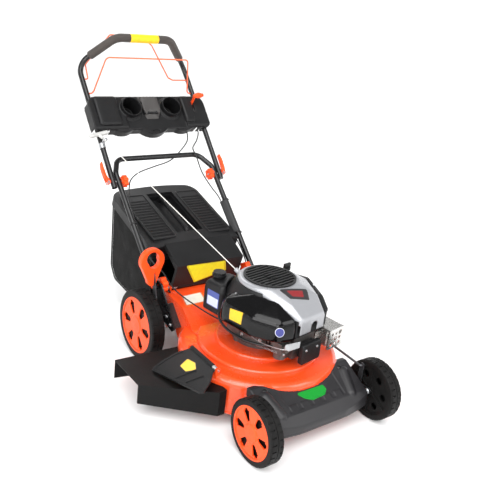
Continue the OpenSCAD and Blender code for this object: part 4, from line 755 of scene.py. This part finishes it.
def makeFloor():  # flat disc whose rim bends up into a pale wall
    flat, bend, around = studio["flat"], studio["bend"], studio["around"]
    rows = [(flat * k / 4, 0.0) for k in range(1, 5)]
    for k in range(1, 7):
        turn = math.radians(15 * k)
        rows.append((flat + bend * math.sin(turn), bend - bend * math.cos(turn)))
    rows.append((flat + bend, studio["rise"]))
    verts = [(0, 0, -studio["sink"])]
    for r, z in rows:
        verts += [(*spoke(2 * math.pi * k / around, r), z - studio["sink"]) for k in range(around)]
    faces = [(0, 1 + k, 1 + (k + 1) % around) for k in range(around)]
    faces += [face[::-1] for face in bridged(len(rows), around, first=1)]
    floor = piece("floor", verts, faces, palePaint("floorPale"))
    floor.data.materials.append(palePaint("rimPale", glow=(1, 1, 1, 1), glowStrength=studio["glow"]))
    for face in floor.data.polygons:
        face.material_index = 1 if face.center.z > 0.01 else 0


setCamera()
setLights()
makeFloor()
print("stage: camera and studio set")

# grass bag: sewn cloth shell hung in its wire frame
bag = {"side": [(96, 338), (78, 142), (112, 113), (370, 133), (407, 180), (414, 437)], "bend": 30,
       "half": 188, "columns": 36, "cloth": 2.2, "piping": 3.0, "hub": (250, 270), "rings": 9, "topSteps": 26,
       "mouthHalf": 150, "mouthLow": 168, "mouthHigh": 318, "mouthBack": 100,
       "sag": 5.4, "slackFrom": 0.2, "slackOver": 0.78,
       "creases": ((0.011, 0.016, 0, 4), (0.035, 0.03, 7, 1.4)),  # scales across and along, shift, height
       "puff": 7, "puffShare": 0.6,
       "ripples": ((0.014, 0.014, 3, 5, 1), (0.04, 0.03, 9, 1.6, 3))}  # two scales, layer, height, quickness


def bagProfile():
    return refined(turnedBends([Vector((0, y, z)) for y, z in bag["side"]], bag["bend"], 8), 12)


def wrapPanel(line, verts, faces, marks):  # front, bottom and back in one strip, with the mouth left open
    count, half, cols = bag["columns"], bag["half"], bag["columns"] + 1
    length = [0.0]
    for a, b in zip(line, line[1:]):
        length.append(length[-1] + (b - a).length)
    centre = sum(line, Vector()) / len(line)
    for i, p in enumerate(line):
        t = (line[min(i + 1, len(line) - 1)] - line[max(i - 1, 0)]).normalized()
        out = Vector((0, t.z, -t.y))
        if out.dot(p - centre) < 0:
            out = -out
        share = length[i] / length[-1]
        slack = math.sin(math.pi * min(1, max(0, (share - bag["slackFrom"]) / bag["slackOver"])))
        for k in range(cols):
            x = -half + 2 * half * k / count
            loose = (1 - (x / half) ** 4) * slack
            crease = sum(noise.noise(Vector((x * across, p.y * along + shift, p.z * along))) * high
                         for across, along, shift, high in bag["creases"])
            verts.append(p + out * ((bag["sag"] + crease) * loose) + Vector((x, 0, 0)))
            marks.append((x / 1000, length[i] / 1000))
    for i in range(len(line) - 1):
        mid = (line[i] + line[i + 1]) / 2
        atMouth = mid.y < bag["mouthBack"] and bag["mouthLow"] < mid.z < bag["mouthHigh"]
        for k in range(count):
            if not (atMouth and abs(-half + 2 * half * (k + 0.5) / count) < bag["mouthHalf"]):
                faces.append((i * cols + k, (i + 1) * cols + k, (i + 1) * cols + k + 1, i * cols + k + 1))


def sidePanel(line, sign, verts, faces, marks):  # rings drawn in towards the middle, closed along the top edge
    def add(point):
        verts.append(point)
        marks.append((point.y / 1000, point.z / 1000))
        return len(verts) - 1

    cols, puff = bag["columns"] + 1, bag["puff"]
    ring = [i * cols + (cols - 1 if sign > 0 else 0) for i in range(len(line))]
    x0 = verts[ring[0]].x
    for k in range(1, bag["topSteps"]):
        q = line[-1].lerp(line[0], k / bag["topSteps"])
        ring.append(add(Vector((x0, q.y, q.z))))
    rim = [verts[i].copy() for i in ring]
    hub = Vector((x0, *bag["hub"]))
    rings = [ring]
    for step in range(1, bag["rings"]):
        share = step / bag["rings"]
        swell = bag["puffShare"] * puff * (1 - (1 - share) ** 2)
        made = []
        for q in rim:
            w = q.lerp(hub, share)
            ripple = 0.0
            for back, up, layer, high, quick in bag["ripples"]:
                wave = noise.noise(Vector((w.y * back, w.z * up, sign * layer)))
                ripple += wave * high * min(1, share * quick)
            w.x = x0 + sign * min(puff, swell + ripple)
            made.append(add(w))
        rings.append(made)
    middle = add(Vector((x0 + sign * puff * bag["puffShare"], hub.y, hub.z)))
    n = len(ring)
    panel = [(a[k], a[(k + 1) % n], b[(k + 1) % n], b[k]) for a, b in zip(rings, rings[1:]) for k in range(n)]
    panel += [(rings[-1][k], rings[-1][(k + 1) % n], middle) for k in range(n)]
    faces += panel if sign < 0 else [face[::-1] for face in panel]


def makeBag():
    line = bagProfile()
    verts, faces, marks = [], [], []
    wrapPanel(line, verts, faces, marks)
    for sign in (-1, 1):
        sidePanel(line, sign, verts, faces, marks)
    thing = piece("bagShell", [at(*v) for v in verts], faces, bagCloth)
    mapped(thing, marks)
    outward(thing)
    wall = thing.modifiers.new("wall", "SOLIDIFY")
    wall.thickness, wall.offset = bag["cloth"] / 1000, -1
    smoother = thing.modifiers.new("smoother", "SUBSURF")
    smoother.levels = smoother.render_levels = 1
    applied(thing)
    thing.data.shade_smooth()
    finishPiece(thing, "chassis", "bag_fabric", "bag_cloth")
    for sign, side in bothSides:  # piping sewn along both side seams
        seam = [at(sign * (bag["half"] + 0.6), p.y, p.z) for p in line]
        tube("bagPiping" + side, seam, bag["piping"], 8, beltRubber, "chassis", "bag_fabric")
    return thing


bagShell = makeBag()
print("stage: bag sewn")

# moulded covers with rounded edges: CAD node, grain in millimetres, rounds of smoothing
covers = {"shroudSkin": ("engine_shroud", 1.8, 5), "blowerSkin": ("blower_housing", 2.2, 6),
          "filterSkin": ("air_filter_cover", 2.6, 40), "tankSkin": ("fuel_tank", 2.0, 12),
          "consoleSkin": ("console", 2.2, 6), "bumperSkin": ("front_bumper", 2.0, 6),
          "guardSkin": ("front_guard", 1.6, 8), "leverGripSkin": ("height_grip", 1.4, 8),
          "camSkinRight": ("cam_lever_right", 1.0, 5), "camSkinLeft": ("cam_lever_left", 1.0, 5),
          "starSkinRight": ("star_knob_right", 0.9, 5), "starSkinLeft": ("star_knob_left", 0.9, 5),
          "starterGripSkin": ("starter_grip", 0.9, 5)}
skins = {name: softened(node, name, grain, rounds) for name, (node, grain, rounds) in covers.items()}
surfaces = {}


def surfaceUnder(name):  # search tree of a CAD node or its rounded cover, made once
    if name not in surfaces:
        surfaces[name] = surfaceOf(skins.get(name) or cad[name])
    return surfaces[name]


print("stage: moulded covers rounded")

# starter rope and control cables, split where each stretch crosses one joint
cords = {
    "grip": (-252, 190, 22), "exit": (-57, -249, 405), "ropeR": 1.6, "cableR": 2.5,
    "atGrip": 0.0263, "atGuide": 0.085,  # metres along the rope where it leaves the grip and the guide
    "sides": 10, "steps": 6, "stillUpper": 4, "stillLower": 6, "endSteps": 8,  # points counted in from the ends of each cable stretch
    "brake": [(150, 454.3, 704.1), (150, 446, 694), (147, 441, 668), (122, 440, 634), (64, 425, 596),
              (-20, 404, 582), (-100, 380, 570), (-150, 352, 552), (-174, 318, 526), (-190, 284, 504),
              (-203, 240, 472), (-203, 180, 416), (-203, 124, 364), (-192, 74, 326), (-172, 32, 300),
              (-166, -20, 270), (-152, -72, 250), (-130, -150, 236), (-110, -230, 230), (-95, -284, 234)],
    "drive": [(205, 461, 711), (205, 450, 698), (194, 440, 672), (176, 430, 654), (162, 414, 642),
              (162, 382, 616), (168, 340, 562), (186, 292, 514), (201, 244, 476), (201, 180, 416),
              (201, 124, 366), (202, 84, 338), (198, 42, 308), (184, 0, 280), (156, -40, 252),
              (141, -58, 239), (138, -62, 227.8)],
    "brakeSplit": 11, "driveSplit": 9}


def makeCords():
    start, stop = onUpper(*cords["grip"]), at(*cords["exit"])
    way = (stop - start).normalized()
    side = Vector((0, way.y, way.z))
    fold = (onUpper(0, 0, 0) - start).dot(side) / side.length_squared  # where the rope passes the fold bolts
    spots = [start + way * reach for reach in (cords["atGrip"], cords["atGuide"], fold)] + [stop]
    stretches = [("ropeByGrip", "starter_grip", "upper_handle"), ("ropeMiddle", "upper_handle", "lower_handle"),
                 ("ropeByEngine", "lower_handle", "chassis")]
    for (name, first, second), a, b in zip(stretches, spots, spots[1:]):
        rope = tube(name, refined([a, b], 0.02), cords["ropeR"], cords["sides"], starterCord)
        flexed(rope, a, b, "starter_rope")
    for name in ("brake", "drive"):
        route = flow([at(*p) for p in cords[name]], cords["steps"])
        split = cords[name + "Split"] * cords["steps"]
        stretches = [("CableUpper", route[:split + 1], "stillUpper", "upper_handle", "lower_handle"),
                     ("CableLower", route[split:], "stillLower", "lower_handle", "chassis")]
        for end, line, still, first, second in stretches:
            cable = tube(name + end, line, cords["cableR"], cords["sides"], cableSheath)
            flexed(cable, line[cords[still]], line[-cords["endSteps"]], "control_cables")


makeCords()
print("stage: rope and cables run")

# foam grip and its yellow sleeve on the top bar
grip = {"corner": (241, 513, 0), "top": (121, 546, 135), "bend": 60, "tip": 0.3, "foamR": 16.5,
        "foamEnd": (0.18, 0.012), "foamWave": (0.006, 90),  # drop and share of the length; height and turns
        "sleeveR": 17.0, "sleeveHalf": 62, "sleeveEnd": (0.02, 0.03)}


def nearEnd(t, share):  # 1 at both ends of a tube, 0 from that share of its length on
    return max(0, 1 - min(t, 1 - t) / share)


def foamSwell(t):  # rounded ends and a faint wave
    drop, share = grip["foamEnd"]
    high, turns = grip["foamWave"]
    return 1 - drop * nearEnd(t, share) ** 2 + high * math.sin(t * turns)


def sleeveSwell(t):
    drop, share = grip["sleeveEnd"]
    return 1 - drop * nearEnd(t, share)


def makeGrip():
    half = [Vector(grip["corner"]).lerp(Vector(grip["top"]), grip["tip"]), Vector(grip["top"])]
    path = [Vector((-p.x, p.y, p.z)) for p in half] + half[::-1]
    path = refined(turnedBends(path, grip["bend"], 6), 5)
    tube("foamGrip", [onUpper(*p) for p in path], grip["foamR"], 28, foamGrip, "upper_handle", "grip_foam",
         ["grip_foam"], foamSwell)
    line = [onUpper(grip["sleeveHalf"] * (k / 12 - 1), *grip["top"][1:]) for k in range(25)]
    tube("gripSleeve", line, grip["sleeveR"], 32, sleeveYellow, "upper_handle", "grip_foam", swell=sleeveSwell)


makeGrip()

# torsion springs round the flap pins
springs = {"wire": 1.2, "coil": 5.6, "pitch": 3.1, "turns": 5, "turnSteps": 20,
           "rear": (123, 12, 243), "side": (-240, -436, 178)}


def makeSprings():
    curl = []
    steps = springs["turnSteps"]
    for i in range(springs["turns"] * steps + 1):
        out = spoke(2 * math.pi * i / steps, springs["coil"])
        curl.append(Vector((springs["pitch"] * i / steps, out.x, out.y)))
    x, y, z = springs["rear"]
    lines = {"springLeft": [at(x + p.x, y + p.y, z + p.z) for p in curl],
             "springRight": [at(-x - p.x, y + p.y, z + p.z) for p in curl]}
    x, y, z = springs["side"]
    lines["springSide"] = [at(x - p.y, y + p.x, z + p.z) for p in curl]
    for name, line in lines.items():
        tube(name, line, springs["wire"], 8, zincSteel, "chassis", "steel", ["flap_springs"])


makeSprings()

# drive belt round the engine pulley and the gearbox pulley
belt = {"big": 23.3, "small": 19.3, "crank": (0, -337), "box": (139, -52), "z": 152,
        "section": ((0.1, -1.3), (2.5, -2.0), (2.5, 2.0), (0.1, 1.3)),  # out from the groove, up
        "still": -300, "swings": 263}  # y of two spots along the belt, passed on to flexed


def makeBelt():
    loop = wrappedLoop(Vector(belt["crank"]), belt["big"], Vector(belt["box"]), belt["small"], 40, 30)
    verts = []
    for centre, r, turn in loop:
        for out, up in belt["section"]:
            verts.append(at(*(centre + spoke(turn, r + out)), belt["z"] + up))
    thing = piece("beltLoop", verts, bridged(len(loop), len(belt["section"]), True), beltRubber)
    outward(thing)
    flexed(thing, at(0, belt["still"], belt["z"]), at(0, belt["swings"], belt["z"]),
           "drive_belt")


makeBelt()
print("stage: grip, springs and belt made")

# plain coloured patches: what lies under, outline, aim, film, body, bend of the corners
films = {
    # the flap's patch takes the yellow film with painted light
    "flapPatch": ("rear_flap", [(-109, -22, 337), (65, -20, 330), (82, -6, 283), (-53, 3, 251)],
                  (0, -0.96, -0.28), flapYellow, "rear_flap", 4),
    "sidePatch": ("side_flap", [(-315, -345, 152), (-279, -333, 165), (-271, -369, 168), (-288, -402, 162),
                                (-316, -383, 151)], (-0.34, 0, 0.94), signYellow, "side_flap", 5),
    "filterPatch": ("filterSkin", [(-159, -364, 340), (-148, -419, 347), (-153, -422, 307), (-161, -369, 304)],
                    (-0.98, -0.16, 0.1), filmYellow, "chassis", 3),
    "tankPatch": ("tankSkin", [(-150, -214, 340), (-150, -270, 340), (-150, -270, 284), (-150, -214, 284)],
                  (-0.99, -0.16, 0), filmBlue, "chassis", 3),
    "deckPatch": ("deck", [(-131, -40, 227), (-46, -38, 229), (-64, -102, 225), (-150, -104, 224)], (0, 0, 1),
                  filmWhite, "chassis", 3),
    "shroudPatch": ("shroudSkin", [(-29, -433, 410), (78, -450, 400), (60, -492, 386), (-12, -474, 391)],
                    (0.12, -0.5, 0.85), filmRed, "chassis", 5)}
for name, (under, outline, aim, film, body, bend) in films.items():
    patch(name, [at(*p) for p in outline], aim, surfaceUnder(under), film, body, "black_plastic", bend)

# round spot on the filter cover and the raised badge on the bumper
spot = {"centre": (-87, -533, 320), "across": (0.86, -0.5, 0), "up": (0, 0.1, 1), "radius": 15, "points": 24,
        "aim": (-0.5, -0.86, 0.1)}
ring = []
for k in range(spot["points"]):
    out = spoke(2 * math.pi * k / spot["points"], spot["radius"])
    ring.append(at(*(Vector(spot["centre"]) + Vector(spot["across"]) * out.x + Vector(spot["up"]) * out.y)))
patch("filterSpot", ring, spot["aim"], surfaceUnder("filterSkin"), spotBlue, "chassis", "gloss_black", 0.6)
badge = {"outline": [(-60, -616, 146), (55, -616, 146), (58, -632, 138), (40, -646, 131), (-12, -650, 129),
                     (-38, -638, 135)], "aim": (0, -0.45, 0.89), "bend": 5, "rise": 1.6, "deep": 2.4}
patch("bumperBadge", [at(*p) for p in badge["outline"]], badge["aim"], surfaceUnder("bumperSkin"), badgeGreen,
      "chassis", "black_plastic", badge["bend"], badge["rise"], badge["deep"])

# raised fields on the console: outline across and along, material, bend, rise, share of the rounded rim
panels = {"consoleInsert": ([(-44, 352), (44, 352), (38, 286), (26, 250), (-26, 250), (-38, 286)], insertGrey,
                            6, 2.4, 0.06),
          "consolePodRight": ([(-238, 352), (-141, 352), (-141, 222), (-238, 222)], coverBlack, 14, 9.0, 0.2),
          "consolePodLeft": ([(146, 352), (192, 352), (192, 228), (146, 228)], coverBlack, 12, 6.0, 0.2)}
upright = (onUpper(0, 0, 1) - onUpper(0, 0, 0)).normalized()
for name, (outline, material, bend, rise, crown) in panels.items():
    patch(name, [onUpper(x, along, 30) for x, along in outline], upright, surfaceUnder("consoleSkin"), material,
          "upper_handle", "black_plastic", bend, rise, rise + 1, crown)
print("stage: patches laid")

# bolts: node or cover under the head, point, aim, size
overhead, toRight, toLeft, toFront = (0, 0, 1), (-1, 0, 0), (1, 0, 0), (0.156, -0.988, 0)
fastenings = {
    "chassis": [
        ("deck", (128, -230, 190), overhead, 1.0), ("deck", (-40, -215, 190), overhead, 1.0),
        ("handle_brackets", (-207, -100, 158), toRight, 0.9),
        ("handle_brackets", (-207, -72, 178), toRight, 0.9),
        ("handle_brackets", (207, -100, 158), toLeft, 0.9),
        ("handle_brackets", (207, -72, 178), toLeft, 0.9),
        ("blowerSkin", (110, -250, 390), overhead, 0.7), ("blowerSkin", (-40, -222, 395), overhead, 0.7),
        ("blowerSkin", (140, -420, 390), overhead, 0.7), ("filterSkin", (-70, -330, 385), overhead, 0.7),
        ("guardSkin", (12, -560, 246), toFront, 0.6), ("guardSkin", (66, -552, 246), toFront, 0.6),
        ("engine_block", (-94, -400, 215), toRight, 0.9), ("engine_block", (-94, -340, 215), toRight, 0.9),
        ("carburettor", (-52, -541, 232), toFront, 0.6), ("carburettor", (-66, -520, 268), toFront, 0.6)],
    "front_lift": [("front_axle", (205, -665, 101.5), toRight, 1.3),
                   ("front_axle", (-205, -665, 101.5), toLeft, 1.3)],
    "gearbox": [("gearbox", (x, y, 160), overhead, 0.6) for x in (122, 155) for y in (-20, 14)]}
boltSink = 0.0002
flangeBolt = boltTree()
for body, rows in fastenings.items():
    hits = [cast(surfaceUnder(under), at(*point), Vector(aim)) for under, point, aim, size in rows]
    grown("bolts_" + body, [place - normal * boltSink for place, normal in hits], flangeBolt,
          {"Finish": zincSteel}, body, "steel", [normal for place, normal in hits], [row[3] for row in rows])

# round-headed screws at the bumper's ends, set to the height of its top further in, and under the console
screws = {"bumperX": 156, "innerX": 144, "bumperY": -580, "bumperZ": 150,
          "bumper": {"Finish": tubeBlack, "Sides": 24, "Head Radius": 0.0054, "Flange Radius": 0.0086,
                     "Head Height": 0.0026},
          "across": (-215, -60, 60, 215), "along": (226, 336), "under": -22,
          "console": {"Finish": darkSteel, "Sides": 24, "Head Radius": 0.0034, "Flange Radius": 0.004,
                      "Head Height": 0.0018}}
places = []
for sign in (-1, 1):
    top = at(sign * screws["innerX"], screws["bumperY"], screws["bumperZ"])
    place, normal = cast(surfaceUnder("bumperSkin"), top, Vector(overhead))
    places.append(place + Vector((sign * (screws["bumperX"] - screws["innerX"]) / 1000, 0, 0)))
grown("screws_bumper", places, flangeBolt, screws["bumper"], "chassis", "steel", normal)
places = [cast(surfaceUnder("consoleSkin"), onUpper(x, along, screws["under"]), -upright)[0]
          for x in screws["across"] for along in screws["along"]]
grown("screws_console", places, flangeBolt, screws["console"], "upper_handle", "steel", -upright)
print("stage: fasteners set")

# seam stitches on the bag, beside each piping
seams = {"inset": 7.0, "proud": 0.5}
cloth = surfaceOf(bagShell)
verts, edges = [], []
for sign in (-1, 1):
    line = [at(sign * (bag["half"] - seams["inset"]), p.y, p.z) for p in bagProfile()]
    edges += [(len(verts) + i, len(verts) + i + 1) for i in range(len(line) - 1)]
    for p in line:
        place, normal, index, way = cloth.find_nearest(p)
        out = normal if normal.dot(p - at(0, *bag["hub"])) > 0 else -normal
        verts.append(place + out * seams["proud"] / 1000)
grown("bagStitches", verts, stitchTree(), {"Finish": insertGrey}, "chassis", "bag_fabric", edges=edges)

# fine slats between the lid's bars and a bead round each grille
lid = {"line": (84, 372, 16.137), "top": 11.6,  # y and z of the front edge and slope, height of the bars
       "slatFrom": 54.5, "pitch": 17, "count": 14, "across": 122,
       "slat": {"Finish": coverBlack, "Slat Length": 0.0838, "Slat Width": 0.0026, "Slat Height": 0.007},
       "beadR": 3.4, "beadX": (74.5, 169.5), "beadAlong": (39, 318), "beadBend": 0.009, "beadGap": 0.5}


def onLid(x, along, n):
    return onSlope(lid["line"], x, along, n)


lidUp = (onLid(0, 0, 1) - onLid(0, 0, 0)).normalized()
places = [onLid(sign * lid["across"], lid["slatFrom"] + i * lid["pitch"], lid["top"]) for sign in (-1, 1)
          for i in range(lid["count"])]
grown("lidSlats", places, slatTree(), lid["slat"], "chassis", "black_plastic", lidUp)
for sign, side in bothSides:
    (x0, x1), (a0, a1) = lid["beadX"], lid["beadAlong"]
    middle = (a0 + a1) / 2
    box = [(x1, middle), (x1, a0), (x0, a0), (x0, a1), (x1, a1), (x1, middle + lid["beadGap"])]
    line = turnedBends([onLid(sign * x, along, lid["top"]) for x, along in box], lid["beadBend"], 12)
    tube("lidBead" + side, refined(line, 0.02), lid["beadR"], 12, coverBlack, "chassis", "black_plastic")
print("stage: lid grilles made")

# corrugated sleeve and ties that hold the cables to the lower tubes
sleeve = {"x": 218, "from": 160, "to": 304, "tubeR": 12.4, "cableR": 5.2, "cable": (-17, -9), "wave": 5.2,
          "deep": 0.9, "ties": [(218, 157), (218, 307), (-218, 120), (-218, 250)]}


def makeSleeve():
    section = wrappedLoop(Vector((0, 0)), sleeve["tubeR"], Vector(sleeve["cable"]), sleeve["cableR"], 20, 10)
    long = sleeve["to"] - sleeve["from"]
    rows = int(long / sleeve["wave"] * 4)
    verts, n = [], len(section)
    for i in range(rows + 1):
        dip = sleeve["deep"] * (0.5 - 0.5 * math.cos(i * math.pi / 2))
        for centre, r, turn in section:
            q = centre + spoke(turn, r - dip)
            verts.append(onLower(sleeve["x"] + q.x, sleeve["from"] + long * i / rows, q.y))
    solid("cableSleeve", verts, bridged(rows + 1, n) + capped(rows + 1, n), cableSheath, "lower_handle",
          "black_plastic")


makeSleeve()
alongTube = (onLower(0, 1, 0) - onLower(0, 0, 0)).normalized()
grown("cableTies", [onLower(x, along, 0) for x, along in sleeve["ties"]], tieTree(), {"Finish": cableSheath},
      "lower_handle", "black_plastic", alongTube)
print("stage: stitches, ties and sleeve made")

# black liners behind the wheel caps: height and radius of the turned form, None stands for the reach
liners = {"front": (-665, 101.5, 253.9, 76.6), "rear": (0, 127, 278.6, 78),  # y, z, x, reach
          "around": 48, "form": [(0, 15), (2.4, 15), (2.8, 30), (1.6, 36), (1.6, 60), (3.0, 66), (3.0, None),
                                 (1.2, None), (0, 60), (0, 36)]}


def makeLiner(end, sign, side):
    y, z, x, reach = liners[end]
    around = liners["around"]
    verts = []
    for k in range(around):
        for high, r in liners["form"]:
            out = spoke(2 * math.pi * k / around, r or reach)
            verts.append(at(sign * (x + high), y + out.x, z + out.y))
    solid(f"{end}Liner{side}", verts, bridged(around, len(liners["form"]), True), chuteBlack,
          f"{end}_wheel_{side.lower()}", "black_plastic")


for end in ("front", "rear"):
    for sign, side in bothSides:
        makeLiner(end, sign, side)

# oval paddle on the speed lever
paddle = {"x": 221, "along": 331, "n": 64, "long": 22.5, "wide": 11.5, "thick": 4.2, "lean": 32, "flat": 0.45,
          "around": 40, "rows": 12}


def makePaddle():
    lean = math.radians(paddle["lean"])
    around, rows = paddle["around"], paddle["rows"]
    verts = []
    for i in range(rows + 1):
        turn = math.pi * i / rows - math.pi / 2
        wide, up = abs(math.cos(turn)) ** paddle["flat"], paddle["thick"] * math.sin(turn)
        for k in range(around):
            out = spoke(2 * math.pi * k / around, wide)
            v = paddle["wide"] * out.y
            verts.append(onUpper(paddle["x"] + paddle["long"] * out.x,
                                 paddle["along"] + v * math.cos(lean) - up * math.sin(lean),
                                 paddle["n"] + v * math.sin(lean) + up * math.cos(lean)))
    solid("leverPaddle", verts, bridged(rows + 1, around), capOrange, "speed_lever", "orange_plastic")


makePaddle()
print("stage: wheel liners and paddle made")

# fuel hose, throttle rod, governor spring and throttle plate by the carburettor
linkage = {"hose": [(-124, -262, 276), (-142, -296, 262), (-146, -344, 252), (-134, -402, 246),
                    (-112, -452, 246), (-84, -488, 250), (-66, -502, 254)], "hoseR": 4.2,
           "rod": [(-112, -414, 262), (-104, -470, 258), (-70, -544, 262), (-30, -552, 268)], "rodR": 1.2,
           "springFrom": (-100, -446, 236), "springTo": (-72, -522, 240), "springR": 0.6, "coil": 3.4,
           "turns": 16, "turnSteps": 12,
           "plate": [(-74, -552, 284), (-16, -556, 284), (-16, -556, 262), (-58, -553, 258), (-74, -552, 268)],
           "plateDeep": (0.0004, 0.002, 0), "plateEdge": 0.0006}


def makeLinkage():
    tube("fuelHose", flow([at(*p) for p in linkage["hose"]], 8), linkage["hoseR"], 14, cableSheath, "chassis",
         "black_plastic")
    tube("throttleRod", flow([at(*p) for p in linkage["rod"]], 6), linkage["rodR"], 8, zincSteel, "chassis",
         "steel")
    a, b = Vector(linkage["springFrom"]), Vector(linkage["springTo"])
    way = (b - a).normalized()
    up = way.cross(Vector((1, 0, 0))).normalized()
    side = way.cross(up)
    count = linkage["turns"] * linkage["turnSteps"]
    curl = [a]
    for i in range(count + 1):
        out = spoke(2 * math.pi * i / linkage["turnSteps"], linkage["coil"])
        curl.append(a.lerp(b, i / count) + up * out.x + side * out.y)
    tube("governorSpring", [at(*p) for p in curl + [b]], linkage["springR"], 6, zincSteel, "chassis", "steel")
    rim = [at(*p) for p in linkage["plate"]]
    n = len(rim)
    verts = rim + [p + Vector(linkage["plateDeep"]) for p in rim]
    faces = bridged(2, n) + capped(2, n)
    plate = piece("throttlePlate", verts, faces, zincSteel, smooth=False)
    outward(plate)
    edge = plate.modifiers.new("edge", "BEVEL")
    edge.width, edge.segments = linkage["plateEdge"], 2
    applied(plate)
    finishPiece(plate, "chassis", "steel")


makeLinkage()
print("stage: carburettor linkage made")

print("stage: done")
